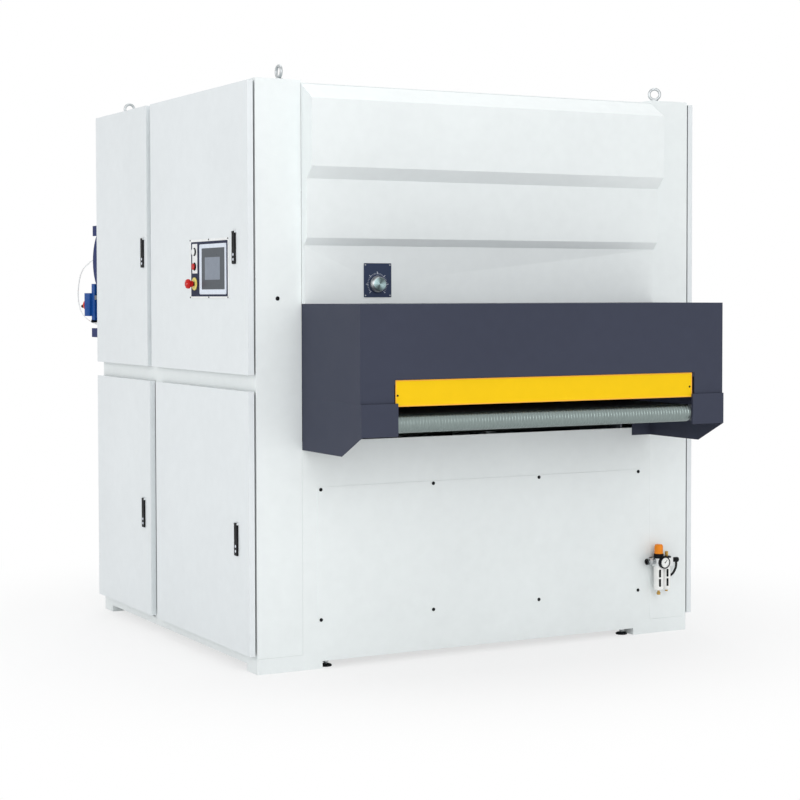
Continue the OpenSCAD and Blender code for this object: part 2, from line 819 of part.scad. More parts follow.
module main_motor() color("royalblue") difference() {
    union() {
        x_rod(motor_r - fin_h, motor_x, motor_y, motor_z);
        x_rod(motor_r, [motor_x[0], motor_x[0] + shield_l], motor_y, motor_z);
        x_rod(motor_r, [motor_x[1] - fan_cover_l, motor_x[1]], motor_y, motor_z);
        for (i = [0:fin_count - 1])
            translate([motor_x[0], motor_y, motor_z]) rotate([i * 360 / fin_count, 0, 0])
                translate([0, -fin_t / 2, motor_r - fin_root])
                    cube([motor_x[1] - motor_x[0], fin_t, fin_root - over]);
        for (x = [motor_x[0] + beam_w, motor_x[1] - 2 * beam_w], s = [-1, 1])
            block([x, x + beam_w],
                  [motor_y + s * motor_r / 2 - beam_w / 2, motor_y + s * motor_r / 2 + beam_w / 2],
                  [foot_plate_z[1], motor_z - motor_r / 2]);
        block([motor_x[0] + beam_w, motor_x[0] + beam_w + terminal_w],
              [motor_y - terminal_w / 2, motor_y + terminal_w / 2],
              [motor_z + motor_r - fin_h, motor_z + motor_r + terminal_h]);
        x_rod(brake_r, [unit_x[0], unit_x[0] + brake_plate_t], motor_y, motor_z);
        x_rod(brake_r - fin_h, unit_x, motor_y, motor_z);
        for (a = [-35, 0, 35])
            translate([0, motor_y, motor_z]) rotate([a, 0, 0])
                x_rod(tie_bar_r, [unit_x[1] - over, motor_x[0] + over], motor_r - 2 * tie_bar_r, 0);
        block([unit_x[0], unit_x[1]], [motor_y + brake_r / 2 - terminal_w / 2, motor_y + brake_r],
              [motor_z + unit_box_rise[0], motor_z + unit_box_rise[1]]);
        y_rod(fitting_r, tube_route[0][0], [motor_y + brake_r / 2, tube_route[0][1]], tube_route[0][2]);
    }
    x_rod(motor_shaft_r + running, [unit_x[1] - beam_w / 2, motor_x[0] + beam_w], motor_y, motor_z);
}

module motor_rotor() color("gray") {
    x_rod(motor_shaft_r, [unit_x[1] - beam_w / 2 + turn_gap, motor_x[0] + beam_w - turn_gap],
          motor_y, motor_z);
    pulley(pulley_r, contact_pulley_x, motor_y, motor_z);
    pulley(pulley_r, brush_pulley_x, motor_y, motor_z);
}

// Radius of the corners of a belt's ring whose flats stand that far off the shaft
function outside_flats(r) = r / cos(180 / vbelt_sides);

module belt_run(x, ra, a, rb, b)
    translate([x - vbelt_w / 2, 0, 0]) rotate([90, 0, 90]) linear_extrude(vbelt_w) difference() {
        hull() {
            translate(a) circle(r = outside_flats(ra + air + vbelt_t), $fn = vbelt_sides);
            translate(b) circle(r = outside_flats(rb + air + vbelt_t), $fn = vbelt_sides);
        }
        hull() {
            translate(a) circle(r = outside_flats(ra + air), $fn = vbelt_sides);
            translate(b) circle(r = outside_flats(rb + air), $fn = vbelt_sides);
        }
    }

module drive_belts() color("black") {
    belt_run(contact_pulley_x, pulley_r, [motor_y, motor_z], pulley_r, [contact_y, contact_z]);
    belt_run(brush_pulley_x, pulley_r, [motor_y, motor_z], brush_pulley_r, [brush_y, brush_z]);
}

module brake_unit() color("royalblue") {
    block(unit_x, [motor_y + motor_r, brake_box_y[0]], brake_back_z);
    block([unit_x[0] - box_proud, unit_x[1] - fin_t], brake_box_y, brake_box_z);
    y_rod(cap_r, unit_x[0] + cap_r / 2, [brake_box_y[1], brake_box_y[1] + cap_h], brake_cap_z);
    y_rod(tip_r, unit_x[0] + cap_r / 2, [brake_box_y[1], brake_box_y[1] + cap_h + tip_h],
          brake_tip_z);
    block(unit_x, [motor_y + motor_r - beam_w, brake_box_y[0]], brake_low_z);
    block([unit_x[0] + fin_t, unit_x[1] - fin_t],
          [motor_y + motor_r - beam_w, motor_y + motor_r - beam_w / 2],
          [brake_low_z[1] - over, foot_plate_z[0]]);
    y_rod(fitting_r, tube_end[0], [motor_y + motor_r - beam_w / 2 - over, tube_end[1]], tube_end[2]);
}

tube_end = tube_route[len(tube_route) - 1];

module air_tube() color("ivory") swept_tube(tube_route, tube_r, 8);

module lifting_screw(s) {
    z_rod(screw_r, s * screw_x, 0, [base_top + worm_h - worm_bore + turn_gap, screw_top]);
}

module left_lifting_screw() color("silver") lifting_screw(-1);
module right_lifting_screw() color("silver") lifting_screw(1);

module lift_gearmotor() color("dimgray") difference() {
    union() {
        for (s = [-1, 1])
            block([s * screw_x - worm_w / 2, s * screw_x + worm_w / 2], [-worm_w / 2, worm_w / 2],
                  [base_top, base_top + worm_h]);
        block([-screw_x, screw_x], [-shaft_box / 2, shaft_box / 2],
              [base_top, base_top + shaft_box]);
        block([-worm_w, worm_w], [-worm_w / 2, worm_w / 2], [base_top, base_top + worm_h]);
        y_rod(motor_small_r - turn_gap, 0, [worm_w / 2, worm_w / 2 + lift_motor_l],
              base_top + motor_small_r);
    }
    for (s = [-1, 1])
        z_rod(screw_r + running, s * screw_x, 0,
              [base_top + worm_h - worm_bore, base_top + worm_h + over]);
}

// Enclosures, drives and contactors on the plate, as [y, z, width, height, depth]
gear_boxes = [[-700, 1260, 160, 300, 60], [-520, 1260, 160, 300, 60], [-320, 1260, 120, 240, 55],
    [-160, 1260, 180, 200, 50], [-700, 1660, 240, 90, 45], [-420, 1660, 360, 90, 45],
    [-700, 1830, 360, 110, 48], [-300, 1830, 240, 110, 48], [-700, 2000, 640, 34, 30]];

module electrical_plate() color("lightgray") {
    block([plate_x, plate_x + sheet], plate_y, plate_z);
    for (g = gear_boxes)
        block([plate_x + sheet, plate_x + sheet + g[4]], [g[0], g[0] + g[2]], [g[1], g[1] + g[3]]);
    for (z = [plate_z[0] + beam_w, plate_z[1] - 2 * beam_w])
        block([plate_x + sheet, side_x - frame_t], [post_y[1] - beam_w, post_y[1] - beam_w / 2],
              [z, z + beam_w]);
}

// Doors as [side, y range, z range, handle y, handle top]
upper_z = [upper_door_z0, upper_door_z1];
lower_z = [lower_door_z0, lower_door_z1];
tall_z = [lower_door_z0, upper_door_z1];
door_front_y = front_y + sheet;
door_rear_y = rear_y - sheet;
doors = [
    [-1, [door_front_y, front_split_upper[0]], upper_z, front_upper_handle_y, upper_handle_z],
    [-1, [front_split_upper[1], door_rear_y], upper_z, rear_upper_handle_y, upper_handle_z],
    [-1, [door_front_y, front_split_lower[0]], lower_z, front_lower_handle_y, lower_handle_z],
    [-1, [front_split_lower[1], door_rear_y], lower_z, rear_lower_handle_y, lower_handle_z],
    [1, [door_front_y, front_split_upper[0]], tall_z, front_upper_handle_y, tall_handle_z],
    [1, [front_split_upper[1], door_rear_y], tall_z, rear_upper_handle_y, tall_handle_z]];

tall_door = 1500;
function hinge_heights(z) = z[1] - z[0] > tall_door
    ? [z[0] + hinge_inset, (z[0] + z[1]) / 2 + hinge_inset, z[1] - hinge_inset - hinge_pin_h]
    : [z[0] + hinge_inset, z[1] - hinge_inset - hinge_pin_h];
hinge_x = side_x + hinge_out;
lug_back = door_out - door_skin - hinge_x;

module door(i) {
    d = doors[i];
    y = d[1];
    z = d[2];
    hinge_y = y[1] - hinge_in;
    on_side(d[0]) difference() {
        union() {
            difference() {
                block([-door_out, -door_x], y, z);
                block([-door_out + door_skin, -door_x + over], [y[0] + door_lip, y[1] - door_lip],
                      [z[0] + door_lip, z[1] - door_lip]);
                for (h = hinge_heights(z))
                    block([-door_out + door_skin, -door_x + over], [y[1] - door_lip - over, y[1] + over],
                          [h - hinge_arm_h, h - hinge_arm_h + notch_h]);
            }
            for (h = hinge_heights(z)) {
                block([-door_out + door_skin / 2, -hinge_x],
                      [hinge_y - hinge_lug_r, hinge_y + hinge_lug_r - door_lip],
                      [h + hinge_arm_h + hinge_gap, h + hinge_arm_h + hinge_gap + hinge_lug_h]);
                z_rod(hinge_lug_r, -hinge_x, hinge_y,
                      [h + hinge_arm_h + hinge_gap, h + hinge_arm_h + hinge_gap + hinge_lug_h]);
            }
            for (s = [-1, 1])
                block([-handle_x - handle_t / 2 - over, -door_out],
                      [d[3] + s * (handle_w + ear_w + air) / 2 - ear_w / 2,
                       d[3] + s * (handle_w + ear_w + air) / 2 + ear_w / 2],
                      [d[4] - handle_t - over, d[4]]);
        }
        for (h = hinge_heights(z))
            z_rod(hinge_pin_r + running, -hinge_x, hinge_y, [h, h + notch_h]);
        y_rod(handle_pin_r + running, -handle_x,
              [d[3] - handle_w / 2 - 2 * ear_w, d[3] + handle_w / 2 + 2 * ear_w], d[4] - handle_t / 2);
        if (i == 0) control_cutouts();
    }
}

handle_x = door_out + air + handle_t / 2;

module control_cutouts() {
    for (z = [start_z, stop_z, estop_z])
        x_rod(estop_neck_r, [-door_out - over, -door_out + door_skin + over], button_y, z);
}

module handle(i) {
    d = doors[i];
    on_side(d[0]) {
        block([-handle_x - handle_t / 2, -handle_x + handle_t / 2],
              [d[3] - handle_w / 2, d[3] + handle_w / 2], [d[4] - handle_h, d[4] - handle_t / 2]);
        y_rod(handle_t / 2, -handle_x, [d[3] - handle_w / 2, d[3] + handle_w / 2], d[4] - handle_t / 2);
        y_rod(handle_pin_r, -handle_x,
              [d[3] - handle_w / 2 - ear_w, d[3] + handle_w / 2 + ear_w], d[4] - handle_t / 2);
    }
}

module door_hinges() color("silver")
    for (d = doors) on_side(d[0]) for (h = hinge_heights(d[2])) {
        block([-hinge_x, -side_x], [d[1][1] - hinge_in - hinge_pin_r, d[1][1] - hinge_in + hinge_pin_r],
              [h, h + hinge_arm_h]);
        z_rod(hinge_pin_r, -hinge_x, d[1][1] - hinge_in, [h, h + hinge_arm_h + hinge_pin_h]);
    }

module left_front_upper_door() color("whitesmoke") door(0);
module left_rear_upper_door() color("whitesmoke") door(1);
module left_front_lower_door() color("whitesmoke") door(2);
module left_rear_lower_door() color("whitesmoke") door(3);
module right_front_door() color("whitesmoke") door(4);
module right_rear_door() color("whitesmoke") door(5);
module left_front_upper_handle() color("black") handle(0);
module left_rear_upper_handle() color("black") handle(1);
module left_front_lower_handle() color("black") handle(2);
module left_rear_lower_handle() color("black") handle(3);
module right_front_handle() color("black") handle(4);
module right_rear_handle() color("black") handle(5);

module control_panel() color("white") difference() {
    union() {
        block([-door_out - panel_t, -door_out], [panel_y - panel_w / 2, panel_y + panel_w / 2],
              [panel_z - panel_h / 2, panel_z + panel_h / 2]);
        for (z = [start_z, stop_z])
            x_rod(ring_r, [-door_out - panel_t - ring_h, -door_out - panel_t + over / 2], button_y, z);
        x_rod(estop_ring_r, [-door_out - panel_t - estop_ring_h, -door_out - panel_t + over / 2],
              button_y, estop_z);
    }
    for (z = [start_z, stop_z, estop_z])
        x_rod(stem_r + running, [-door_out - panel_t - estop_ring_h - over, -door_out + over],
              button_y, z);
    for (z = [start_z, stop_z])
        x_rod(button_r + air, [-door_out - panel_t - ring_h - over, -door_out - panel_t],
              button_y, z);
}

module touch_screen() color("lightgray") difference() {
    block([-door_out - panel_t - screen_t, -door_out - panel_t],
          [screen_y - screen_w / 2, screen_y + screen_w / 2],
          [screen_z - screen_h / 2, screen_z + screen_h / 2]);
    block([-door_out - panel_t - screen_t - over, -door_out - panel_t - screen_t + turn_gap],
          [screen_y - screen_w / 2 + screen_rim, screen_y + screen_w / 2 - screen_rim],
          [screen_z - screen_h / 2 + screen_rim, screen_z + screen_h / 2 - screen_rim]);
}

module push_button(z) {
    x_rod(button_r, [-door_out - panel_t - button_h - button_travel, -door_out - panel_t - button_travel],
          button_y, z);
    x_rod(stem_r, [-door_out - panel_t - button_travel - over, -door_out + stem_l - button_travel],
          button_y, z);
}

module start_button() color("white") push_button(start_z);
module stop_button() color("red") push_button(stop_z);

module estop_button() color("red") {
    x_rod(mushroom_r, [-door_out - estop_reach, -door_out - estop_reach + estop_cap_h],
          button_y, estop_z);
    x_rod(estop_neck_r, [-door_out - estop_reach + estop_cap_h - over,
          -door_out - panel_t - estop_ring_h - button_travel - turn_gap], button_y, estop_z);
    x_rod(stem_r, [-door_out - panel_t - estop_ring_h - button_travel - turn_gap - over,
          -door_out + stem_l], button_y, estop_z);
}

dial_back = front_y - bottom_step;
knob_base = dial_back - dial_t - air;

module speed_dial() color("darkslategray") difference() {
    block([dial_x - dial_w / 2, dial_x + dial_w / 2], [dial_back - dial_t, dial_back],
          [dial_z - dial_h / 2, dial_z + dial_h / 2]);
    y_rod(knob_shaft_r + running, knob_x, [dial_back - dial_t - over, dial_back + over], knob_z);
}

module speed_knob() color("silver") {
    y_rod(speed_knob_r, knob_x, [knob_base - knob_h * knob_skirt_share, knob_base], knob_z);
    y_rod(speed_knob_r * knob_grip_share, knob_x, [knob_base - knob_h, knob_base], knob_z);
    y_rod(knob_shaft_r, knob_x, [dial_back - dial_t - over, dial_back + knob_h], knob_z);
}

module air_unit() color("ivory") difference() {
    union() {
        for (x = [regulator_x, oiler_x])
            block([x - head_block / 2, x + head_block / 2],
                  [unit_y - head_block / 2, unit_y + head_block / 2], unit_z);
        block([regulator_x - head_block / 2, oiler_x + head_block / 2],
              [unit_y + head_block / 2 - over, front_y], [unit_z[1] - rail_h, unit_z[1]]);
        z_rod(bowl_r, regulator_x, unit_y, [bowl_low, unit_z[0] + over]);
        z_rod(small_bowl_r, oiler_x, unit_y, [bowl_low, unit_z[0] + over]);
        z_rod(drain_r, regulator_x, unit_y, [drain_low, bowl_low + over]);
        z_rod(bowl_r, regulator_x, unit_y, [unit_z[1] - over, air_knob_z[0]]);
        z_rod(drain_r, oiler_x, unit_y, [unit_z[1] - over, unit_z[1] + oil_knob_h]);
        y_rod(gauge_r, gauge_x, [unit_y - head_block / 2 - gauge_l, unit_y - head_block / 2 + over],
              gauge_z);
        x_rod(valve_r, [valve_x[0], regulator_x - head_block / 2 + over], unit_y, valve_z);
        x_rod(valve_r + bracket_t, [valve_x[0], valve_x[0] + bracket_t], unit_y, valve_z);
        x_rod(valve_r, [oiler_x, hose_route[0][0] + valve_r], unit_y, valve_z);
        z_rod(valve_r, hose_route[0][0], unit_y, [elbow_low, valve_z]);
    }
    x_rod(inlet_r, [valve_x[0] - over, valve_x[0] + inlet_l], unit_y, valve_z);
    z_rod(drain_r, regulator_x, unit_y, [air_knob_z[0] - 2 * bracket_t, air_knob_z[0] + over]);
}

module air_unit_knob() color("orange") {
    z_rod(air_knob_r, regulator_x, unit_y, [air_knob_z[0] + air, air_knob_z[1]]);
    z_rod(drain_r - running, regulator_x, unit_y,
          [air_knob_z[0] - 2 * bracket_t + air, air_knob_z[0] + over]);
}

module shutoff_sleeve() color("silver") difference() {
    x_rod(sleeve_r, sleeve_x, unit_y, valve_z);
    x_rod(valve_r + running, [sleeve_x[0] - over, sleeve_x[1] + over], unit_y, valve_z);
}

module air_hose() color("black") swept_tube(hose_route, hose_r, 10);

base_frame();
levelling_feet();
body_frame();
lower_front_panel();
access_panel();
panel_screws();
upper_front_panel();
roof_panel();
rear_panel();
eyebolts();
dust_spigots();
infeed_hood();
hood_cheeks();
guard_flap();
infeed_roller();
conveyor_bed();
conveyor_belt();
front_drum();
rear_drum();
conveyor_gearmotor();
head_frame();
contact_roller();
tension_roller();
abrasive_belt();
brush_roller();
front_pinch_roller();
rear_pinch_roller();
main_motor();
motor_rotor();
drive_belts();
brake_unit();
air_tube();
left_lifting_screw();
right_lifting_screw();
lift_gearmotor();
electrical_plate();
door_hinges();
left_front_upper_door();
left_rear_upper_door();
left_front_lower_door();
left_rear_lower_door();
right_front_door();
right_rear_door();
left_front_upper_handle();
left_rear_upper_handle();
left_front_lower_handle();
left_rear_lower_handle();
right_front_handle();
right_rear_handle();
control_panel();
touch_screen();
start_button();
stop_button();
estop_button();
speed_dial();
speed_knob();
air_unit();
air_unit_knob();
shutoff_sleeve();
air_hose();
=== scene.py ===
"""Looks of the sheet metal deburring machine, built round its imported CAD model."""
import json
import math

import bmesh
import bpy
import numpy as np
from mathutils import Matrix, Vector


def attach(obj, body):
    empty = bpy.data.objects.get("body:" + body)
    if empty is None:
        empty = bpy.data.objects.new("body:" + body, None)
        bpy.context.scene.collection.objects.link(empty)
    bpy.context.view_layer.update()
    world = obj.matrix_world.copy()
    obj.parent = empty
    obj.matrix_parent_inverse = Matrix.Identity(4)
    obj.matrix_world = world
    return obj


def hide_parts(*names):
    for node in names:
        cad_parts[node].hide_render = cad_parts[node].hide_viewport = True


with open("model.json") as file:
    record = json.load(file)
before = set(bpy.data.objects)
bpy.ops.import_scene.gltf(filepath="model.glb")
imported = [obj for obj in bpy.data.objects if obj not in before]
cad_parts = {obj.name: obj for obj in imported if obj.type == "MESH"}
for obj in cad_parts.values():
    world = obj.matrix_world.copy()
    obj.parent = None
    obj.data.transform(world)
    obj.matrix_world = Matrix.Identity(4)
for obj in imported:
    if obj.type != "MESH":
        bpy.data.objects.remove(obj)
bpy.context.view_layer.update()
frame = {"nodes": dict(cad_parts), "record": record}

MM = 0.001

# The photograph's camera, solved from the cabinet's edges: lengths of its square picture in pixels,
# its place in metres, and its azimuth, elevation and roll in degrees
PHOTO_SIDE, FOCAL_LENGTH, PICTURE_MIDDLE = 800, 1848.88, (396.32, 359.36)
CAMERA_PLACE, CAMERA_TURNS = (-3.77666, -7.13649, 1.41627), (-28.24, 1.976, -0.123)
SENSOR_WIDTH = 36.0

# Planes of the CAD model that pieces stand on, in millimetres
ROOF_Z = 2224
DOOR_FACE, DOOR_BACK = 1020, 990.3
COLUMN_Y, FRONT_SHEET_Y, REAR_SHEET_Y = -847.5, -849.5, 847.5
UPPER_SHEET_Y, GUARD_Y = -869.5, -1322.5

# Operator's panel on the left door, as places along and up the door
PANEL_YZ, SCREEN_YZ, PANEL_T = (-475, 1523), (-515, 1520), 3
BUTTON_Y, START_Z, STOP_Z, ESTOP_Z = -332, 1590, 1532, 1464

# Speed knob, and the dial plate's middle that lies above it
KNOB_X, KNOB_Z, KNOB_Y, DIAL_RISE = -494, 1460, -872.8, 15

# Air unit: its axes, its valve's height and the middle of its gauge
REGULATOR_X, OILER_X, ELBOW_X, UNIT_Y, VALVE_Z = 820, 860, 910, -887.5, 308
GAUGE_XZ = (828, 304)

# Doors: their ends along the machine, the gaps that split them, and their heights
DOOR_ENDS, UPPER_SPLIT, LOWER_SPLIT = (-844.5, 844.5), (160, 208), (115, 183)
UPPER_Z, LOWER_Z, TALL_Z = (1122, 2214), (70, 1060), (70, 2214)
# Each door's side of the machine, its two ends, and its foot and head
DOORS = {
    "left_front_upper": (-1, DOOR_ENDS[0], UPPER_SPLIT[0], *UPPER_Z),
    "left_rear_upper": (-1, UPPER_SPLIT[1], DOOR_ENDS[1], *UPPER_Z),
    "left_front_lower": (-1, DOOR_ENDS[0], LOWER_SPLIT[0], *LOWER_Z),
    "left_rear_lower": (-1, LOWER_SPLIT[1], DOOR_ENDS[1], *LOWER_Z),
    "right_front": (1, DOOR_ENDS[0], UPPER_SPLIT[0], *TALL_Z),
    "right_rear": (1, UPPER_SPLIT[1], DOOR_ENDS[1], *TALL_Z),
}
# Each handle's place along its door, and its upper end
HANDLES = {"left_front_upper": (-721, 1661), "left_rear_upper": (255, 1661),
           "left_front_lower": (-730, 561), "left_rear_lower": (260, 561),
           "right_front": (-721, 1150), "right_rear": (255, 1150)}

# Widths of rounded edges, in metres
FRAME_EDGE, SHEET_EDGE, DOOR_EDGE, CASTING_EDGE = 0.003, 0.0008, 0.0015, 0.002
# Radius that holds the journals of the head's rollers, in metres
HEAD_JOURNAL = 0.0205

# Routes of the cords, in millimetres
TUBE_ROUTE = [[-910, 1185, 1587], [-910, 1215, 1586], [-910, 1250, 1580], [-910, 1288, 1569],
              [-910, 1335, 1556], [-910, 1381, 1533], [-910, 1415, 1500], [-910, 1434, 1455],
              [-910, 1439, 1420], [-910, 1430, 1385], [-910, 1405, 1352], [-910, 1365, 1328],
              [-910, 1295, 1306], [-910, 1222, 1291], [-910, 1170, 1286], [-910, 1130, 1284]]
HOSE_ROUTE = [[910, -887.5, 297.7], [910, -887.5, 288], [909, -887, 276], [905, -885, 264],
              [899, -882, 252], [893, -876, 243], [888, -868, 238], [885, -860, 236], [885, -851, 236]]

# What the lamps face, in metres
CABINET_MIDDLE = (0, 0, 1.2)
# Rays that see the white background and not the soft light of the room
SEEN_RAYS = ("Is Camera Ray", "Is Glossy Ray", "Is Transmission Ray")


def look_through():
    """The camera of the photograph, with its small shift and roll."""
    azimuth, elevation, roll = (math.radians(a) for a in CAMERA_TURNS)
    back = Vector((math.sin(azimuth) * math.cos(elevation),
                   -math.cos(azimuth) * math.cos(elevation), math.sin(elevation)))
    right = Vector((math.cos(azimuth), math.sin(azimuth), 0.0))
    up = back.cross(right)
    side = math.cos(roll) * right + math.sin(roll) * up
    top = -math.sin(roll) * right + math.cos(roll) * up
    data = bpy.data.cameras.new("camera")
    data.sensor_width = SENSOR_WIDTH
    data.lens = SENSOR_WIDTH * FOCAL_LENGTH / PHOTO_SIDE
    data.shift_x = (PHOTO_SIDE / 2 - PICTURE_MIDDLE[0]) / PHOTO_SIDE
    data.shift_y = (PICTURE_MIDDLE[1] - PHOTO_SIDE / 2) / PHOTO_SIDE
    data.clip_end = 100
    camera = bpy.data.objects.new("camera", data)
    bpy.context.scene.collection.objects.link(camera)
    place = Matrix((side, top, back)).transposed().to_4x4()
    place.translation = Vector(CAMERA_PLACE)
    camera.matrix_world = place
    bpy.context.scene.camera = camera


class Value:
    """One output socket. Arithmetic on it adds Math nodes to its material."""

    def __init__(self, finish, socket):
        self.finish, self.socket = finish, socket

    def math(self, operation, *terms):
        return self.finish.node("ShaderNodeMath", {"operation": operation}, dict(enumerate(terms)))

    def __add__(self, other):
        return self.math("ADD", self, other)

    def __sub__(self, other):
        return self.math("SUBTRACT", self, other)

    def __mul__(self, other):
        return self.math("MULTIPLY", self, other)


class Finish:
    """A node-based material with its shader and the object's own coordinates, in metres."""

    def __init__(self, name, colour, **constants):
        self.material = bpy.data.materials.new(name)
        self.material.use_nodes = True
        self.tree = self.material.node_tree
        self.shader = next(n for n in self.tree.nodes if n.type == "BSDF_PRINCIPLED")
        self.colour = self.linear(colour)
        self.shader.inputs["Base Color"].default_value = self.colour
        for key, value in constants.items():
            self.shader.inputs[key.replace("_", " ")].default_value = value
        self.place = self.node("ShaderNodeTexCoord", out="Object")
        self.material.diffuse_color = self.colour

    @staticmethod
    def linear(colour):
        """A colour written as 0 to 255 per channel, as the linear values that Blender wants."""
        scaled = np.asarray(colour, float) / 255
        low, high = scaled / 12.92, ((scaled + 0.055) / 1.055) ** 2.4
        return (*np.where(scaled <= 0.04045, low, high).tolist(), 1.0)

    def node(self, kind, settings=(), sockets=(), out=0):
        """Adds one node: its settings first, then a value or a link for each named socket."""
        made = self.tree.nodes.new(kind)
        for key, value in dict(settings).items():
            setattr(made, key, value)
        for key, value in dict(sockets).items():
            if isinstance(value, Value):
                self.tree.links.new(value.socket, made.inputs[key])
            else:
                made.inputs[key].default_value = value
        return Value(self, made.outputs[out])

    def noise(self, scale, detail=3.0, stretch=(1, 1, 1)):
        """Noise from 0 to 1 with that many features a metre, finer along the stretched axes."""
        place = self.node("ShaderNodeMapping", (), {"Vector": self.place, "Scale": stretch})
        return self.node("ShaderNodeTexNoise", (), {"Vector": place, "Scale": scale, "Detail": detail})

    def mix(self, share, first, second):
        """One colour turned towards another by a share."""
        return self.node("ShaderNodeMix", {"data_type": "RGBA"}, {0: share, 6: first, 7: second}, out=2)

    def feed(self, socket, value):
        self.tree.links.new(value.socket, self.shader.inputs[socket])
        return self

    def bump(self, height, depth):
        """Relief of that depth in metres, where the height runs from 0 to 1."""
        return self.feed("Normal", self.node("ShaderNodeBump", (), {"Distance": depth, "Height": height}))


def shade(colour, share):
    """A colour from 0 to 255 per channel, made lighter or darker by a share."""
    return [min(255.0, c * (1 + share)) for c in colour]


def powder_coat(name, colour, rough=0.42, cloud=0.035, gloss=0.4):
    """Baked powder paint: faint clouds in tone and the fine dimples of its skin."""
    f = Finish(name, colour, Metallic=0.0, Specular_IOR_Level=gloss)
    tone = f.noise(1.7, 2) * 0.6 + f.noise(23, 3) * 0.4
    f.feed("Base Color", f.mix(tone, f.linear(shade(colour, -cloud)), f.linear(shade(colour, cloud))))
    f.feed("Roughness", f.noise(6, 2) * 0.14 + (rough - 0.07))
    return f.bump(f.noise(330, 2), 0.00012)


def plastic(name, colour, rough=0.38, grain=900, depth=0.00006, gloss=0.4, **more):
    """Moulded plastic: an even colour with a fine eroded grain."""
    f = Finish(name, colour, Specular_IOR_Level=gloss, **more)
    tone = f.noise(40, 2)
    f.feed("Base Color", f.mix(tone, f.linear(shade(colour, -0.05)), f.linear(shade(colour, 0.05))))
    f.feed("Roughness", f.noise(90, 2) * 0.12 + (rough - 0.06))
    return f.bump(f.noise(grain, 3), depth)


def rubber(name, colour, rough=0.72):
    """Matt rubber: dusty patches and a fine skin."""
    f = Finish(name, colour, Specular_IOR_Level=0.3)
    dust = f.noise(9, 4) * f.noise(60, 3)
    f.feed("Base Color", f.mix(dust, f.linear(shade(colour, -0.2)), f.linear(shade(colour, 0.5))))
    f.feed("Roughness", f.noise(50, 2) * 0.15 + (rough - 0.07))
    return f.bump(f.noise(500, 3), 0.0001)


def steel(name, colour, rough=0.3, stretch=(1, 1, 1), metallic=1.0):
    """Bare or plated steel: fine drawn or turned lines across the stretched axes."""
    f = Finish(name, colour, Metallic=metallic)
    lines = f.noise(60, 4, stretch)
    f.feed("Base Color", f.mix(lines, f.linear(shade(colour, -0.18)), f.linear(shade(colour, 0.12))))
    f.feed("Roughness", lines * 0.25 + (rough - 0.12))
    return f.bump(f.noise(240, 3, stretch), 0.00006)


def grit_cloth():
    """Abrasive cloth: dark brown bond with paler grains standing out of it."""
    f = Finish("abrasive_grains", (112, 62, 40), Specular_IOR_Level=0.4)
    grains = f.node("ShaderNodeTexVoronoi", (), {"Vector": f.place, "Scale": 700.0})
    f.feed("Base Color", f.mix(grains, f.linear((150, 92, 62)), f.linear((84, 44, 30))))
    f.feed("Roughness", grains * 0.3 + 0.6)
    return f.bump(grains, 0.0004)


def spun_metal(name, colour, middle):
    """A spun disc of metal in the front plane, with bright fans of painted highlight in its colour where
    its fine rings would throw glints.

    At the angle a and radius r from the middle, the painted highlight's tone follows 0.5 + 0.5 cos(2 a +
    0.9) and the roughness follows sin(260000 r^2).
    """
    f = Finish(name, colour, Metallic=0.9, Roughness=0.3)
    along = f.node("ShaderNodeSeparateXYZ", (), {0: f.place}, out=0) - middle[0] * MM
    up = f.node("ShaderNodeSeparateXYZ", (), {0: f.place}, out=2) - middle[1] * MM
    # Painted highlight: the fans of glint are painted into the colour by the angle around the middle
    painted_glint_fan = up.math("ARCTAN2", up, along) * 2.0 + 0.9
    painted_glint_fan = painted_glint_fan.math("COSINE", painted_glint_fan) * 0.5 + 0.5
    rings = (along * along + up * up) * 260000.0
    rings = rings.math("SINE", rings)
    f.feed("Base Color", f.mix(painted_glint_fan, f.linear(shade(colour, -0.42)), f.linear(shade(colour, 0.2))))
    f.feed("Roughness", rings * 0.05 + 0.3)
    return f


cabinet_paint = powder_coat("cabinet_paint", (233, 238, 238))
# The doors' white is the cabinet's white painted a little darker: painted shade of the left side, which
# gets less light than the front
door_paint = powder_coat("door_paint", (226, 231, 233))
slate_paint = powder_coat("slate_paint", (60, 64, 79), rough=0.5, cloud=0.06, gloss=0.12)
yellow_paint = powder_coat("guard_yellow", (240, 196, 6), rough=0.45, gloss=0.15)
grey_paint = powder_coat("frame_grey", (96, 100, 106), rough=0.5, cloud=0.08)
blue_paint = powder_coat("motor_blue", (30, 84, 156), rough=0.45, cloud=0.08, gloss=0.12)
casting_grey = powder_coat("casting_grey", (84, 88, 92), rough=0.6, cloud=0.12)
zinc = steel("zinc_plate", (188, 192, 194), rough=0.34)
roller_steel = steel("ribbed_roller", (138, 150, 148), rough=0.38, stretch=(10, 1, 1))
aluminium = steel("turned_aluminium", (200, 202, 204), rough=0.32, stretch=(14, 1, 1))
sheet_aluminium = steel("plain_sheet", (190, 194, 196), rough=0.42, stretch=(1, 1, 8))
black_steel = powder_coat("blackened_steel", (22, 23, 26), rough=0.5, cloud=0.1, gloss=0.12)
black_plastic = plastic("black_plastic", (20, 21, 24), rough=0.5, gloss=0.1)
white_plastic = plastic("white_plastic", (236, 238, 238))
orange_plastic = plastic("orange_plastic", (238, 138, 28), rough=0.4, gloss=0.2)
red_plastic = plastic("red_plastic", (192, 24, 20), rough=0.35, gloss=0.2)
black_rubber = rubber("black_rubber", (28, 29, 31))
belt_rubber = rubber("belt_rubber", (58, 66, 62))
tube_plastic = plastic("white_tube", (238, 240, 240), rough=0.3, grain=300)
abrasive = grit_cloth()
brush_fibre = rubber("brush_fibre", (150, 100, 62), rough=0.8)
bezel_plastic = plastic("bezel_plastic", (218, 226, 238), rough=0.4)
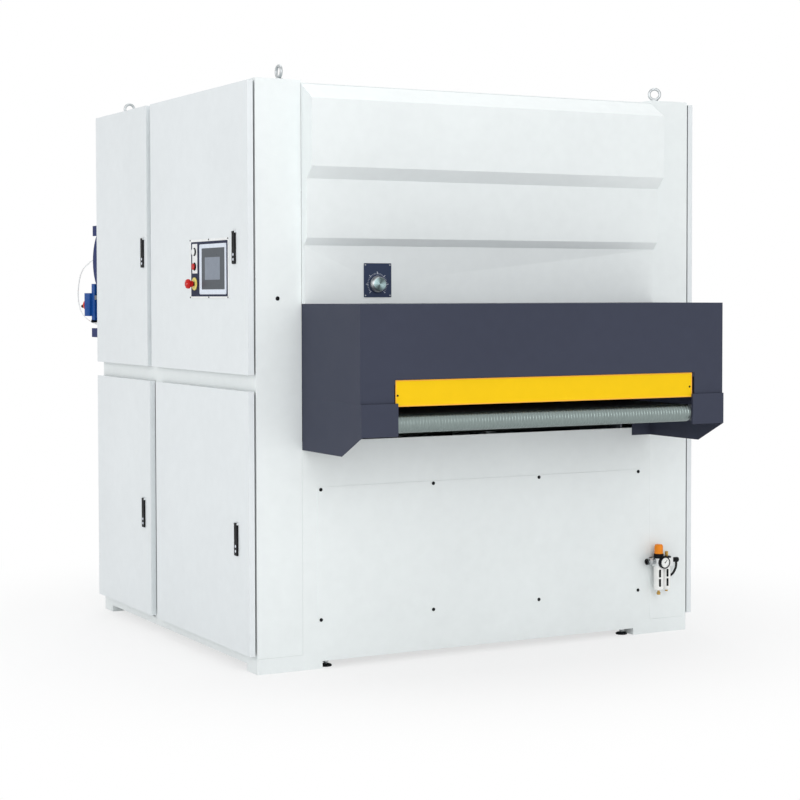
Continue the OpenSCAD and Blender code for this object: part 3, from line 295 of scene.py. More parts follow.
panel_navy = plastic("panel_navy", (34, 40, 66), rough=0.5, gloss=0.1)
screen_glass = plastic("screen_glass", (70, 77, 84), rough=0.3, depth=0.00001, gloss=0.15)
lcd_glass = plastic("lcd_glass", (128, 137, 150), rough=0.3, depth=0.00001, gloss=0.15)
pale_yellow = plastic("pale_yellow", (240, 226, 120), rough=0.4)
edge_orange = powder_coat("edge_orange", (250, 176, 60), rough=0.4)
dial_navy = powder_coat("dial_navy", (52, 62, 86), rough=0.5, gloss=0.12)
print_white = plastic("print_white", (214, 220, 230), rough=0.5)
# The knob's face, with its glints painted in as highlight
knob_face = spun_metal("knob_face", (150, 172, 174), (KNOB_X, KNOB_Z))
bowl_plastic = plastic("bowl_plastic", (240, 240, 238), rough=0.2, grain=200, depth=0.00003,
                       Coat_Weight=0.4)
brass = steel("brass", (196, 158, 84), rough=0.28)
dial_paper = plastic("dial_paper", (242, 243, 240), rough=0.5)
# Darker and lighter copies of the motor's blue: painted shade and painted highlight
painted_shade_blue = powder_coat("painted_shade_blue", (6, 32, 92), rough=0.45, cloud=0.08, gloss=0.1)
unit_blue = powder_coat("unit_blue", (18, 72, 144), rough=0.45, cloud=0.08, gloss=0.1)
painted_highlight_blue = powder_coat("painted_highlight_blue", (44, 98, 168), rough=0.45, cloud=0.08, gloss=0.1)
cap_red = plastic("cap_red", (220, 80, 58), rough=0.45, gloss=0.15)

FINISH_OF_SLOT = {
    "cabinet_paint": cabinet_paint, "door_paint": door_paint, "slate_paint": slate_paint,
    "yellow_paint": yellow_paint, "zinc_steel": zinc, "black_steel": black_steel,
    "grey_steel": grey_paint, "roller_steel": roller_steel, "belt_rubber": belt_rubber,
    "black_rubber": black_rubber, "aluminium": aluminium, "abrasive_cloth": abrasive,
    "brush_fibre": brush_fibre, "blue_paint": blue_paint, "white_tube": tube_plastic,
    "grey_casting": casting_grey, "plate_aluminium": sheet_aluminium,
    "black_plastic": black_plastic, "white_plastic": white_plastic,
    "screen_plastic": bezel_plastic, "red_plastic": red_plastic,
    "orange_plastic": orange_plastic,
}
SLOT_OF_NODE = {s["node"]: s["material_slot"] for s in frame["record"]["subparts"]}
BODY_OF_NODE = {n: b for b, nodes in frame["record"]["behaviour"]["bodies"].items() for n in nodes}


def paint_nodes():
    """Every CAD node gets the finish of its own slot."""
    for node, slot in SLOT_OF_NODE.items():
        data = frame["nodes"][node].data
        data.materials.clear()
        data.materials.append(FINISH_OF_SLOT[slot].material)


def upright(degrees):
    """Axes of an upright plane: along it, up and outwards, turned so far from the front's plane."""
    t = math.radians(degrees)
    axes = ((math.cos(t), math.sin(t), 0), (0, 0, 1), (math.sin(t), -math.cos(t), 0))
    return np.array(axes).round(12)


LEFT, FRONT, RIGHT, BACK = (upright(degrees) for degrees in (-90, 0, 90, 180))
TOP = np.eye(3)


def circle(radius, height, steps=48, flutes=0, depth=0.0, at=(0, 0)):
    """A ring of points, drawn in by shallow flutes: r = radius - depth (1 - cos(flutes t)) / 2."""
    turn = 2 * np.pi * np.arange(steps) / steps
    r = radius - depth * (0.5 - 0.5 * np.cos(flutes * turn))
    return np.c_[at[0] + r * np.cos(turn), at[1] + r * np.sin(turn), np.full(steps, float(height))]


def loop(width, height, corner, level, at=(0, 0), steps=5):
    """A rectangle of points with rounded corners."""
    points = []
    for quarter, (a, b) in enumerate(((1, 1), (-1, 1), (-1, -1), (1, -1))):
        turn = np.pi / 2 * (quarter + np.linspace(0, 1, steps))
        points.append(np.c_[at[0] + a * (width / 2 - corner) + corner * np.cos(turn),
                            at[1] + b * (height / 2 - corner) + corner * np.sin(turn),
                            np.full(steps, float(level))])
    return np.vstack(points)


def add_piece(name, data, body, nodes):
    """An object of that mesh or curve, on its body and in the place of the nodes that it replaces."""
    piece = bpy.data.objects.new(name, data)
    bpy.context.scene.collection.objects.link(piece)
    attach(piece, body)
    for node in nodes:
        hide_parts(node)
    return piece


class Piece:
    """Collects the faces of one object, in millimetres from an origin along three axes."""

    def __init__(self, name, body, slot):
        self.name, self.body, self.slot = name, body, slot
        self.points, self.faces, self.finish_of_face, self.finishes = [], [], [], []
        self.count = 0

    def at(self, origin, axes):
        self.origin, self.axes = np.array(origin, float), axes
        return self

    def skin(self, rings, finish, caps=(True, True)):
        """Faces between rings that follow each other outwards along the third axis."""
        rings = np.array(rings, float)
        rows, around = rings.shape[:2]
        here = self.count + np.arange(rows * around).reshape(rows, around)
        after = np.roll(here, -1, axis=1)
        faces = np.stack([here[:-1], after[:-1], after[1:], here[1:]], axis=-1).reshape(-1, 4).tolist()
        if caps[0]:
            faces.append(here[0][::-1].tolist())
        if caps[1]:
            faces.append(here[-1].tolist())
        if finish not in self.finishes:
            self.finishes.append(finish)
        self.points.append(rings.reshape(-1, 3) @ self.axes + self.origin)
        self.faces += faces
        self.finish_of_face += [self.finishes.index(finish)] * len(faces)
        self.count += rows * around
        return self

    def turned(self, profile, finish, steps=48, flutes=0, depth=0.0, at=(0, 0), caps=(True, True)):
        """A turned shape from pairs of radius and height."""
        return self.skin([circle(r, h, steps, flutes, depth, at) for r, h in profile], finish, caps)

    def slab(self, width, height, corner, back, front, finish, at=(0, 0), edge=0.6):
        """A plate with rounded corners and softened edges."""
        inner = (width - 2 * edge, height - 2 * edge, max(corner - edge, 0.2))
        return self.skin([loop(*inner, back, at), loop(width, height, corner, back + edge, at),
                          loop(width, height, corner, front - edge, at), loop(*inner, front, at)], finish)

    def flat(self, corners, back, front, finish):
        """A thin plate with the given corners, such as a printed mark."""
        return self.skin([np.c_[corners, np.full(len(corners), level)] for level in (back, front)], finish)

    def tick(self, middle, degrees, near, far, half, back, front, finish):
        """A tick of a dial, between two radii from the dial's middle."""
        along = np.array((math.cos(math.radians(degrees)), math.sin(math.radians(degrees))))
        side = np.array((-along[1], along[0])) * half
        start, end = middle + along * near, middle + along * far
        return self.flat([start - side, end - side, end + side, start + side], back, front, finish)

    def border(self, width, height, corner, band, back, front, finish, at=(0, 0)):
        """A band round a rectangle, laid inwards from its outline."""
        inside = (width - 2 * band, height - 2 * band, max(corner - band, 0.5))
        soft = min(0.3, (front - back) / 3)
        rings = [loop(width, height, corner, back, at), loop(width, height, corner, front - soft, at),
                 loop(width - 2 * soft, height - 2 * soft, corner, front, at),
                 loop(inside[0] + 2 * soft, inside[1] + 2 * soft, inside[2], front, at),
                 loop(*inside, front - soft, at), loop(*inside, back, at)]
        return self.skin(rings + rings[:1], finish, (False, False))

    def done(self, *nodes, sharp=32):
        """Makes the object, with sharp edges where faces meet at more than that many degrees."""
        mesh = bpy.data.meshes.new(self.name)
        mesh.from_pydata((np.vstack(self.points) * MM).tolist(), [], self.faces)
        for finish in self.finishes:
            mesh.materials.append(finish.material)
        mesh.polygons.foreach_set("material_index", self.finish_of_face)
        work = bmesh.new()
        work.from_mesh(mesh)
        bmesh.ops.remove_doubles(work, verts=work.verts, dist=1e-6)
        work.to_mesh(mesh)
        work.free()
        mesh.shade_smooth()
        mesh.set_sharp_from_angle(angle=math.radians(sharp))
        add_piece(self.name, mesh, self.body, nodes)


def soften(piece, width):
    """Rounds the edges of a piece."""
    bevel = piece.modifiers.new("rounded_edges", "BEVEL")
    bevel.width, bevel.segments = width, 2
    bevel.limit_method, bevel.angle_limit = "ANGLE", math.radians(30)
    bevel.use_clamp_overlap = True
    bevel.harden_normals = True


def dress(node, edge, finish=None, regions=(), journal=0, play=0.015):
    """A copy of a CAD node with whole flat faces and rounded edges, in one or more finishes.

    A roller's journals, all that lies within the radius journal of its axis, get play in their
    bores: d -> (1 - play) d, where d is a corner's distance from the axis.
    """
    mesh = bpy.data.meshes.new(node + "_skin")
    work = bmesh.new()
    work.from_mesh(frame["nodes"][node].data)
    bmesh.ops.remove_doubles(work, verts=work.verts, dist=1e-6)
    if journal:
        places = np.array([v.co for v in work.verts])
        out = places - (places.min(0) + places.max(0)) / 2
        out[:, 0] = 0
        slim = np.linalg.norm(out, axis=1) < journal
        places[slim] -= play * out[slim]
        for v, place in zip(work.verts, places):
            v.co = place
    bmesh.ops.dissolve_limit(work, angle_limit=math.radians(0.6), verts=work.verts, edges=work.edges)
    work.to_mesh(mesh)
    work.free()
    slot = SLOT_OF_NODE[node]
    mesh.materials.append((finish or FINISH_OF_SLOT[slot]).material)
    for number, (holds, other) in enumerate(regions, 1):
        mesh.materials.append(other.material)
        for face in mesh.polygons:
            if holds(*(face.center / MM)):
                face.material_index = number
    mesh.shade_smooth()
    mesh.set_sharp_from_angle(angle=math.radians(30))
    soften(add_piece(node + "_skin", mesh, BODY_OF_NODE[node], [node]), edge)


def hang_tube(name, node, route, radius, finish):
    """A round tube along its route's smooth curve, in place of its node."""
    points = smooth_route(route) * MM
    data = bpy.data.curves.new(name, "CURVE")
    data.dimensions = "3D"
    data.bevel_depth, data.bevel_resolution = radius, 4
    data.use_fill_caps = True
    spline = data.splines.new("POLY")
    spline.points.add(len(points) - 1)
    spline.points.foreach_set("co", np.c_[points, np.ones(len(points))].ravel())
    spline.use_smooth = True
    data.materials.append(finish.material)
    tube = add_piece(name, data, BODY_OF_NODE[node], [node])


def smooth_route(route, steps=4):
    """Points on the curve through every point of a route.

    Between b and c, with a before them and d after them, and t from 0 to 1:
    (2 b + (c - a) t + (2 a - 5 b + 4 c - d) t^2 + (3 b - a - 3 c + d) t^3) / 2.
    """
    p = np.asarray(route, float)
    p = np.vstack([2 * p[0] - p[1], p, 2 * p[-1] - p[-2]])
    t = np.linspace(0, 1, steps, endpoint=False)[:, None]
    runs = [0.5 * (2 * b + (c - a) * t + (2 * a - 5 * b + 4 * c - d) * t ** 2
                   + (3 * b - a - 3 * c + d) * t ** 3)
            for a, b, c, d in zip(p[:-3], p[1:-2], p[2:-1], p[3:])]
    return np.vstack(runs + [p[-2:-1]])


look_through()
paint_nodes()
hang_tube("thin_air_tube", "air_tube", TUBE_ROUTE, 0.003, tube_plastic)
hang_tube("black_air_hose", "air_hose", HOSE_ROUTE, 0.005, black_rubber)


def frames_and_sheets():
    """Sheet metal and frames: the CAD shapes with rounded edges."""
    for node in ("body_frame", "base_frame"):
        dress(node, FRAME_EDGE)
    for node in ("lower_front_panel", "upper_front_panel", "roof_panel", "rear_panel", "infeed_hood",
                 "hood_cheeks", "access_panel", "guard_flap", "electrical_plate"):
        dress(node, SHEET_EDGE)
    for node in SLOT_OF_NODE:
        if node.endswith("_door"):
            dress(node, DOOR_EDGE)


def head_rollers():
    """The rollers that turn in the head's side plates."""
    for node in ("contact_roller", "tension_roller", "brush_roller"):
        dress(node, SHEET_EDGE, journal=HEAD_JOURNAL)


def rear_drive():
    """Motor and brake: blue housings, painted navy as shade on the motor's end and the brake's lower block
    and painted lighter blue as highlight on the motor's top block, with a red cap and black fittings.
    """
    disc_x, fins_z, cap_y, cap_x, cap_z, block_z = -886, 1690, 1257.5, -905, (1345, 1405), 1270
    # Painted light: the motor's left end is painted navy as shade, and its top block is painted lighter
    # blue as highlight
    dress("main_motor", CASTING_EDGE, unit_blue, regions=(
        (lambda x, y, z: x < disc_x, painted_shade_blue),
        (lambda x, y, z: x < disc_x and z > fins_z, painted_highlight_blue)))
    # Painted shade: the brake's lower block is painted navy
    dress("brake_unit", CASTING_EDGE, unit_blue, regions=(
        (lambda x, y, z: y > cap_y or y > cap_y - 1.5 and x < cap_x and cap_z[0] < z < cap_z[1], cap_red),
        (lambda x, y, z: z < block_z, painted_shade_blue)))
    cap_middle, cap_tip, low_plug = (-916, 1270, 1375), (-934, 1269, 1369), (-918, 1181, 1300)
    tube_plug = (TUBE_ROUTE[0][0], 1160, TUBE_ROUTE[0][2])
    rings = Piece("brake_cap_rings", "head", "blue_paint").at(cap_middle, BACK)
    for radius in (24, 17, 10):
        rings.turned([(radius, -0.5), (radius, 0.8), (radius - 2, 0.8), (radius - 2, -0.5)], print_white,
                     caps=(False, False))
    rings.done()
    plugs = Piece("brake_fittings", "head", "blue_paint").at(low_plug, LEFT)
    plugs.turned([(7.5, -14), (7.5, 12), (6.5, 13.5), (1, 13.5)], black_plastic, 32)
    plugs.at(tube_plug, BACK)
    plugs.turned([(8, 0), (8, 9), (7, 10), (7, 19), (8.6, 20), (8.6, 26), (4, 27)], black_plastic, 32)
    plugs.at(cap_tip, BACK)
    plugs.turned([(6.2, -8), (6.2, 22), (8, 23), (8, 31), (6.6, 33), (1, 33)], black_plastic, 32)
    plugs.done()


def infeed_roller():
    """A steel roller with grooves all along it."""
    half, journal_end, pitch, axis_yz = 650, 664, 13.0, (-1294, 955.8)
    profile = [(12, -journal_end), (12, -half), (33.5, -half)]
    for start in np.arange(-half, half, pitch):
        profile += [(34.5, start + 1.2), (34.5, start + 9.4), (33.2, start + 10.4), (33.2, start + 12)]
    profile += [(33.5, half), (12, half), (12, journal_end)]
    roller = Piece("ribbed_infeed_roller", "infeed_roller", "roller_steel")
    roller.at((0, *axis_yz), RIGHT).turned(profile, roller_steel, steps=40)
    roller.done("infeed_roller", sharp=24)


def eyebolts():
    """Four forged eyebolts, each a ring on a collar: its bar's circle (22 + 6 cos a, 6 sin a) turned."""
    eyes = Piece("lifting_eyes", "machine", "zinc_steel")
    ring_r, bar_r, ring_rise = 22, 6, 33
    for x, y, turn in ((-865, -787.5, 90), (865, -787.5, -36), (-875, 800.5, 0), (875, 800.5, 0)):
        eyes.at((x, y, ROOF_Z), TOP).turned([(17.4, 0), (18, 0.6), (18, 5), (15.5, 8), (9, 8.6)], zinc)
        eyes.at((x, y, ROOF_Z + ring_rise), upright(turn))
        bar = 2 * np.pi * np.arange(17) / 16
        eyes.skin([circle(ring_r + bar_r * math.cos(a), bar_r * math.sin(a), 56) for a in bar], zinc,
                  (False, False))
    eyes.done("eyebolts")


def door_handles():
    """Black moulded handles with a finger hollow and two bright rivets."""
    for name, (y, top) in HANDLES.items():
        node = name + "_handle"
        side = DOORS[name][0]
        handle = Piece(node + "_grip", BODY_OF_NODE[node], "black_plastic")
        handle.at((side * (DOOR_FACE + 0.3), y, top - 62.5), LEFT if side < 0 else RIGHT)
        handle.slab(30, 124, 4, 0, 6, black_plastic, edge=1.2)
        handle.border(24, 52, 3, 1.6, 5.6, 6.6, black_plastic, at=(0, 28))
        for drop in (-26.5, -45):
            handle.turned([(5.5, 5.8), (5.5, 6.4), (4.4, 7.0), (1.2, 7.3)], print_white, 24, at=(0, drop))
        handle.at((side * (DOOR_FACE + 3.3), y, top - 3), BACK)
        handle.turned([(1.5, -18.8), (1.5, 18.8)], zinc, 20)
        handle.done(node)


def door_seals():
    """Rubber seals between the doors and the cabinet."""
    for name, (side, y0, y1, z0, z1) in DOORS.items():
        seal = Piece(name + "_seal", name + "_door", "black_rubber")
        seal.at((side * DOOR_BACK, (y0 + y1) / 2, (z0 + z1) / 2), LEFT if side < 0 else RIGHT)
        seal.border(y1 - y0 - 36, z1 - z0 - 24, 6, 9, 0, 6.9, black_rubber)
        seal.done()


def panel_screw(piece, at, radius, height, finish=None):
    """A pan head with a socket, standing on the level 0."""
    shape = ((1, 0), (1, 0.35), (0.86, 0.8), (0.6, 1), (0.42, 1), (0.38, 0.5))
    piece.turned([(radius * r, height * h) for r, h in shape], finish or black_steel, 24, at=at)


def fixings():
    """Screws of the access panel, and screws and rubber edges of the rear panel."""
    heads = Piece("access_panel_screws", "machine", "black_steel").at((0, FRONT_SHEET_Y, 0), FRONT)
    for x in (-726, -236.67, 252.67, 742):
        for z in (186, 682):
            panel_screw(heads, (x, z), 7, 3)
            heads.turned([(3, -5), (3, 0)], black_steel, 16, at=(x, z))
    heads.done("panel_screws")
    back = Piece("rear_panel_screws", "machine", "cabinet_paint").at((0, REAR_SHEET_Y, 0), BACK)
    low, high, side = 90, 2180, 905
    places = [(x, z) for z in np.linspace(low, high, 9) for x in (-side, side)]
    places += [(x, z) for x in np.linspace(-700, 700, 6) for z in (low, high)]
    for place in places:
        panel_screw(back, place, 5, 2.4)
    outfeed_slot, motor_window, cable_entry = (0, 1010), (655, 1540), (-600, 400)
    back.border(1404, 104, 4, 5, -0.2, 2.5, black_rubber, at=outfeed_slot)
    back.border(546, 336, 6, 5, -0.2, 2.5, black_rubber, at=motor_window)
    back.turned([(32, 0), (32, 3), (30, 4), (26, 4), (26, 0)], black_plastic, at=cable_entry,
                caps=(False, False))
    back.done()


def levelling_feet():
    """Threaded studs with lock nuts and dished pads."""
    feet = Piece("threaded_feet", "machine", "black_steel")
    side, end, half_pitch = 688, 807.5, 1.5
    thread = [(8 if k % 2 else 7.3, 10 + half_pitch * k) for k in range(46)]
    for x in (-side, side):
        for y in (-end, end):
            feet.at((x, y, 0), TOP)
            feet.turned([(23, 0), (24, 1), (24, 5), (20, 8), (11, 10)], black_plastic)
            feet.turned(thread + [(7, 80)], zinc, 24)
            for low in (16, 58):
                feet.turned([(12, low), (13, low + 1), (13, low + 11), (12, low + 12)], zinc, 6)
    feet.done("levelling_feet", sharp=20)


def dust_spigots():
    """Sheet spigots with a rolled rim and a screwed flange."""
    spigots = Piece("rolled_dust_spigots", "machine", "zinc_steel")
    height, flange_t, screw_circle = 1960, 3, 88
    for x in (-260, 420):
        spigots.at((x, REAR_SHEET_Y, height), BACK)
        spigots.turned([(72, 0), (100, 0), (100, 2.4), (99.4, 3), (75, 3), (75, 14), (74, 15), (74, 17),
                        (75, 18), (75, 82), (74.6, 84.4), (73.5, 85), (72.4, 84.4), (72, 82), (72, 0)],
                       sheet_aluminium, 72, caps=(False, False))
        spigots.at((x, REAR_SHEET_Y + flange_t, height), BACK)
        for turn in np.arange(6) * math.pi / 3:
            panel_screw(spigots, (screw_circle * math.cos(turn), screw_circle * math.sin(turn)), 4, 2)
    spigots.done("dust_spigots")


def operator_panel():
    """White plate with a navy frame, six screws, button rings and a pale strip under the buttons."""
    panel = Piece("operator_panel", "left_front_upper_door", "white_plastic")
    panel.at((-DOOR_FACE, *PANEL_YZ), LEFT)
    panel.slab(388, 231, 5, 0, 3, white_plastic)
    panel.slab(367, 214, 3, 2.5, 3.6, panel_navy, at=(3.5, -1.5), edge=0.2)
    panel.slab(52, 116, 2, 3.2, 3.9, white_plastic, at=(-141, 40), edge=0.2)
    panel.at((-DOOR_FACE - PANEL_T, *PANEL_YZ), LEFT)
    for a in (189.5, 1, -188.5):
        for b in (-112, 112):
            panel_screw(panel, (a, b), 3.0, 2.2, black_plastic)
    panel.at((-DOOR_FACE - PANEL_T, BUTTON_Y, 0), LEFT)
    for z in (START_Z, STOP_Z):
        panel.turned([(16, 0), (16, 2.2), (15.2, 3), (14, 3), (13.1, 2.4), (13.1, 1), (8.05, 1),
                      (8.05, -3), (16, -2.9), (16, 0)], black_plastic, at=(0, z), caps=(False, False))
    panel.turned([(25, 0), (25, 3.6), (23.6, 5), (9.5, 5), (8.05, 4), (8.05, -3), (25, -2.9), (25, 0)],
                 pale_yellow, 64, at=(0, ESTOP_Z), caps=(False, False))
    panel.done("control_panel")


def operator_screen():
    """Touch screen: a pale bezel, a grey glass and the blank display under it."""
    screen = Piece("operator_screen", "left_front_upper_door", "screen_plastic")
    screen.at((-DOOR_FACE, *SCREEN_YZ), LEFT)
    glass, bezel = (10.7, 1.5), (6, 0)
    screen.skin([loop(263, 194, 6, 3, bezel), loop(264, 195, 6.5, 3.8, bezel),
                 loop(264, 195, 6.5, 6.2, bezel), loop(261, 192, 5, 7.4, bezel),
                 loop(232, 163, 4, 7.4, glass), loop(229, 160, 3, 6.4, glass)],
                bezel_plastic, caps=(True, False))
    screen.slab(230, 161, 3, 5.8, 6.45, screen_glass, at=glass, edge=0.1)
    screen.slab(149.5, 87, 1.5, 6.3, 6.7, lcd_glass, at=(4, 2.5), edge=0.1)
    screen.done("touch_screen")


def push_buttons():
    """Dished caps on their stems, and the mushroom of the emergency stop."""
    for node, z, finish in (("start_button", START_Z, white_plastic), ("stop_button", STOP_Z, red_plastic)):
        cap = Piece(node + "_cap", node, SLOT_OF_NODE[node]).at((-DOOR_FACE, BUTTON_Y, z), LEFT)
        cap.turned([(8, -10), (8, 8.6)], black_plastic)
        cap.turned([(11.9, 8.4), (12.5, 8.9), (12.5, 12), (11.8, 12.9), (11, 13), (9, 12.6), (2, 12.3)],
                   finish)
        cap.done(node, sharp=40)
    stop = Piece("estop_mushroom", "estop_button", "red_plastic").at((-DOOR_FACE, BUTTON_Y, ESTOP_Z), LEFT)
    stop.turned([(8, -14), (8, 14.4)], black_plastic)
    stop.turned([(12, 14.2), (12, 26.5)], red_plastic)
    stop.turned([(14, 26), (17.6, 26.2), (18.8, 28), (19, 31), (18.6, 35), (17, 38.6), (13.6, 40.8),
                 (8, 41.8), (2, 42)], red_plastic, 60)
    for turn in 2 * np.pi * np.arange(3) / 3:
        stop.turned([(2.0, 41.2), (1.8, 42.0)], white_plastic, 3,
                    at=(11.5 * math.cos(turn), 11.5 * math.sin(turn)))
    stop.done("estop_button", sharp=40)


def speed_control():
    """Dial plate with ticks round a spun knob."""
    dial = Piece("speed_scale", "machine", "slate_paint")
    dial.at((KNOB_X, UPPER_SHEET_Y, KNOB_Z + DIAL_RISE), FRONT)
    dial.slab(118, 130, 3, 0, 3, dial_navy, at=(2, 0))
    for x in (-51, 55):
        for z in (-58, 58):
            dial.turned([(2.6, 2.8), (2.6, 3.4), (1.8, 3.8), (1, 3.8)], zinc, 20, at=(x, z))
    for k in range(31):
        far, half = (48, 0.9) if k % 5 == 0 else (43, 0.5)
        dial.tick((0, -DIAL_RISE), 225 - 9 * k, 38, far, half, 2.9, 3.12, print_white)
    dial.done("speed_dial")
    knob = Piece("spun_speed_knob", "speed_knob", "aluminium").at((KNOB_X, KNOB_Y, KNOB_Z), FRONT)
    knob.turned([(31.5, 0), (32.4, 0.8), (32.4, 7), (31.4, 8)], aluminium, 144, 36, 0.8, caps=(True, False))
    knob.turned([(31.4, 7.8), (27, 21.4), (25.6, 22.6)], aluminium, 96, caps=(False, False))
    knob.turned([(25.7, 22.5), (24.6, 22.8), (1, 22.2)], knob_face, 96, caps=(False, True))
    knob.flat([(-0.8, 19), (0.8, 19), (0.8, 25), (-0.8, 25)], 21, 23, black_plastic)
    knob.at((KNOB_X, KNOB_Y, KNOB_Z), BACK).turned([(5, 0), (5, 27)], zinc, 24)
    knob.done("speed_knob")


def air_service_unit():
    """Filter regulator and oiler with gauge, bowls, shut-off valve and elbow."""
    unit = Piece("air_service_unit", "machine", "white_plastic")
    unit.at((0, 0, 0), TOP)
    for x in (REGULATOR_X, OILER_X):
        unit.slab(42, 42, 5, 286, 320, white_plastic, at=(x, UNIT_Y), edge=1)
    unit.slab(82, 20, 1, 304, 320, black_steel, at=((REGULATOR_X + OILER_X) / 2, -857.6))
    unit.turned([(7, 185), (15, 186), (19.5, 190), (21, 197), (21, 282), (20, 286)], bowl_plastic,
                at=(REGULATOR_X, UNIT_Y))
    unit.turned([(7, 185), (12, 186), (15.8, 190), (17, 196), (17, 282), (16, 286)], bowl_plastic,
                at=(OILER_X, UNIT_Y))
    for x, r in ((REGULATOR_X, 21.6), (OILER_X, 17.6)):
        unit.turned([(r, 277), (r, 285.5), (r - 1.5, 286.5)], bowl_plastic, 72, 18, 0.5, at=(x, UNIT_Y))
    unit.turned([(20, 320), (21, 321), (21, 336.6), (20, 338), (8, 338)], black_plastic, 72, 24, 0.5,
                at=(REGULATOR_X, UNIT_Y), caps=(True, False))
    unit.turned([(19, 320), (19, 324), (17, 326), (8, 326)], black_plastic, at=(OILER_X, UNIT_Y))
    unit.turned([(6, 325), (6, 330), (6.8, 331), (6.8, 345), (6, 346), (1, 346)], brass, 72, 18, 0.5,
                at=(OILER_X, UNIT_Y))
    unit.turned([(5, 166), (8, 167.5), (8, 176), (5, 178), (5, 186)], brass, 72, 12, 0.6,
                at=(REGULATOR_X, UNIT_Y))
    unit.turned([(4, 178), (6, 179), (6, 186)], brass, 36, at=(OILER_X, UNIT_Y))
    for x, r in ((REGULATOR_X, 20), (OILER_X, 16)):
        unit.at((x, UNIT_Y, 0), upright(-20))
        for z in (218.5, 257.5):
            unit.slab(9, 33, 3, r - 3, r + 1.4, black_plastic, at=(0, z))
    unit.at((0, UNIT_Y, 0), FRONT)
    unit.turned([(24, 18), (25, 20), (25, 35.5), (24, 37), (20.5, 37), (20.5, 34.6)], black_steel, 64,
                at=GAUGE_XZ, caps=(True, False))
    unit.turned([(20.6, 34.4), (20.6, 34.7)], dial_paper, 64, at=GAUGE_XZ)
    unit.turned([(2.2, 34.6), (2.2, 36), (1.4, 36.3)], black_steel, 20, at=GAUGE_XZ)
    for k in range(11):
        unit.tick(GAUGE_XZ, 225 - 27 * k, 15, 18, 0.35, 34.6, 34.85, black_steel)
    needle = np.array(((-1.6, -0.2), (0.8, -2.1), (10.6, 10.8), (9.4, 11.8)))
    unit.flat(needle + GAUGE_XZ, 34.9, 35.2, black_steel)
    unit.at((0, UNIT_Y, VALVE_Z), RIGHT)
    unit.turned([(6, 757), (12.4, 757), (13, 757.8), (13, 761), (9, 762)], black_steel, caps=(False, False))
    unit.turned([(9, 762), (9, 788), (12, 789), (12, 798.6), (9, 799.4)], zinc, caps=(False, True))
    unit.turned([(6, 757), (6, 769)], black_steel, caps=(False, True))
    unit.turned([(9, 880), (9, 898), (10, 899), (10, 916), (8.5, 919)], black_plastic)
    unit.at((ELBOW_X, UNIT_Y, 0), TOP)
    unit.turned([(6, 298), (9, 299), (9, 306), (9.4, 308), (8, 314)], black_plastic)
    unit.done("air_unit")


def air_unit_handles():
    """The regulator's fluted knob and the knurled sleeve of the shut-off valve."""
    knob = Piece("regulator_knob", "air_unit_knob", "orange_plastic").at((REGULATOR_X, UNIT_Y, 0), TOP)
    knob.turned([(7.95, 330.3), (7.95, 338.3), (17, 338.3), (18, 339.4), (18, 366), (16.8, 373), (14, 377),
                 (2, 377)], orange_plastic, 144, 24, 0.7)
    knob.done("air_unit_knob")
    sleeve = Piece("valve_sleeve", "shutoff_sleeve", "zinc_steel").at((0, UNIT_Y, VALVE_Z), RIGHT)
    sleeve.turned([(9.05, 768), (14, 768), (15, 769), (15, 783), (14, 784), (9.05, 784), (9.05, 768)], zinc,
                  144, 36, 0.5, caps=(False, False))
    sleeve.done("shutoff_sleeve")


def small_marks():
    """Sensor on the column, rivets and rim of the guard flap."""
    sensor = Piece("column_sensor", "machine", "black_plastic").at((-901.4, COLUMN_Y, 1406.3), FRONT)
    sensor.turned([(8, 0), (8, 1.6), (7.2, 2.4), (5.4, 2.4), (5, 1.6), (1, 1.4)], black_plastic)
    sensor.done()
    trim = Piece("guard_trim", "guard_flap", "yellow_paint").at((0, GUARD_Y, 1066), FRONT)
    trim.border(1315, 95, 2, 3.5, 0, 0.35, edge_orange)
    for x in (-649, 646):
        trim.turned([(4, 0), (4, 0.9), (3.2, 1.6), (1, 1.8)], black_plastic, 24, at=(x, -7.5))
    trim.done()


for make in (frames_and_sheets, head_rollers, rear_drive, infeed_roller, eyebolts, door_handles,
             door_seals, fixings, levelling_feet, dust_spigots, operator_panel, operator_screen,
             push_buttons, speed_control, air_service_unit, air_unit_handles, small_marks):
    make()


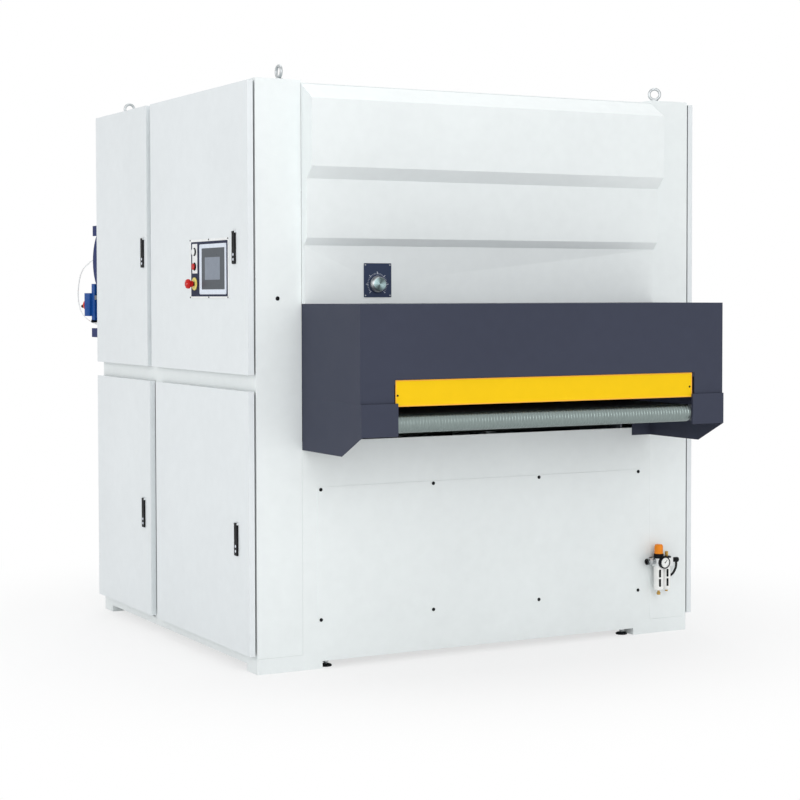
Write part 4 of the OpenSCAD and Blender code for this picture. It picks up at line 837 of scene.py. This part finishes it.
def set_floor():
    """A pale floor that keeps the object's shadow and fades to white away from it, in metres."""
    half, fade_start, fade_end, white_at_start = 30.0, 1.2, 2.6, 0.65
    mesh = bpy.data.meshes.new("floor")
    mesh.from_pydata([(-half, -half, 0), (half, -half, 0), (half, half, 0), (-half, half, 0)], [],
                     [(0, 1, 2, 3)])
    floor = bpy.data.objects.new("floor", mesh)
    bpy.context.scene.collection.objects.link(floor)
    f = Finish("floor_pale", (240, 240, 240), Roughness=0.8, Specular_IOR_Level=0.1)
    away = f.node("ShaderNodeVectorMath", {"operation": "LENGTH"}, {0: f.place}, out="Value")
    far = f.node("ShaderNodeMapRange", {"interpolation_type": "SMOOTHSTEP"},
                 {"Value": away, "From Min": fade_start, "From Max": fade_end, "To Min": white_at_start})
    camera, glossy, clear = (f.node("ShaderNodeLightPath", out=ray) for ray in SEEN_RAYS)
    seen = camera.math("MAXIMUM", camera, glossy.math("MAXIMUM", glossy, clear))
    glow = f.node("ShaderNodeEmission", (), {"Strength": 1.0})
    both = f.node("ShaderNodeMixShader", (), {0: far * seen, 1: Value(f, f.shader.outputs[0]), 2: glow})
    end = next(n for n in f.tree.nodes if n.type == "OUTPUT_MATERIAL")
    f.tree.links.new(both.socket, end.inputs["Surface"])
    mesh.materials.append(f.material)


def set_world():
    """A white background, and a softer white light that falls on the object."""
    room_light, background = ((0.97, 0.985, 1.0, 1), 0.5), ((1, 1, 1, 1), 1.0)
    world = bpy.data.worlds.new("studio")
    bpy.context.scene.world = world
    world.use_nodes = True
    tree = world.node_tree
    tree.nodes.clear()
    end = tree.nodes.new("ShaderNodeOutputWorld")
    rays = tree.nodes.new("ShaderNodeLightPath")
    mix = tree.nodes.new("ShaderNodeMixShader")
    seen = None
    for name in SEEN_RAYS:
        either = tree.nodes.new("ShaderNodeMath")
        either.operation = "MAXIMUM"
        tree.links.new(rays.outputs[name], either.inputs[0])
        if seen:
            tree.links.new(seen, either.inputs[1])
        seen = either.outputs[0]
    tree.links.new(seen, mix.inputs[0])
    for socket, (colour, strength) in enumerate((room_light, background), 1):
        light = tree.nodes.new("ShaderNodeBackground")
        light.inputs["Color"].default_value = colour
        light.inputs["Strength"].default_value = strength
        tree.links.new(light.outputs[0], mix.inputs[socket])
    tree.links.new(mix.outputs[0], end.inputs[0])


def lamp(name, place, aim, power, size):
    """A soft square lamp that faces its aim."""
    data = bpy.data.lights.new(name, "AREA")
    data.energy, data.size = power, size
    light = bpy.data.objects.new(name, data)
    light.location = place
    light.rotation_euler = (Vector(aim) - Vector(place)).to_track_quat("-Z", "Y").to_euler()
    bpy.context.scene.collection.objects.link(light)


set_floor()
set_world()
lamp("front_lamp", (-1.8, -8.0, 2.9), CABINET_MIDDLE, 160, 4.5)
lamp("left_lamp", (-7.5, -1.5, 3.6), CABINET_MIDDLE, 78, 4.0)
lamp("top_lamp", (0, 0, 7.5), (0, 0, 0), 95, 5.0)
lamp("back_lamp", (2.5, 7.5, 4.2), CABINET_MIDDLE, 90, 4.0)

bpy.context.scene.view_settings.view_transform = "Standard"
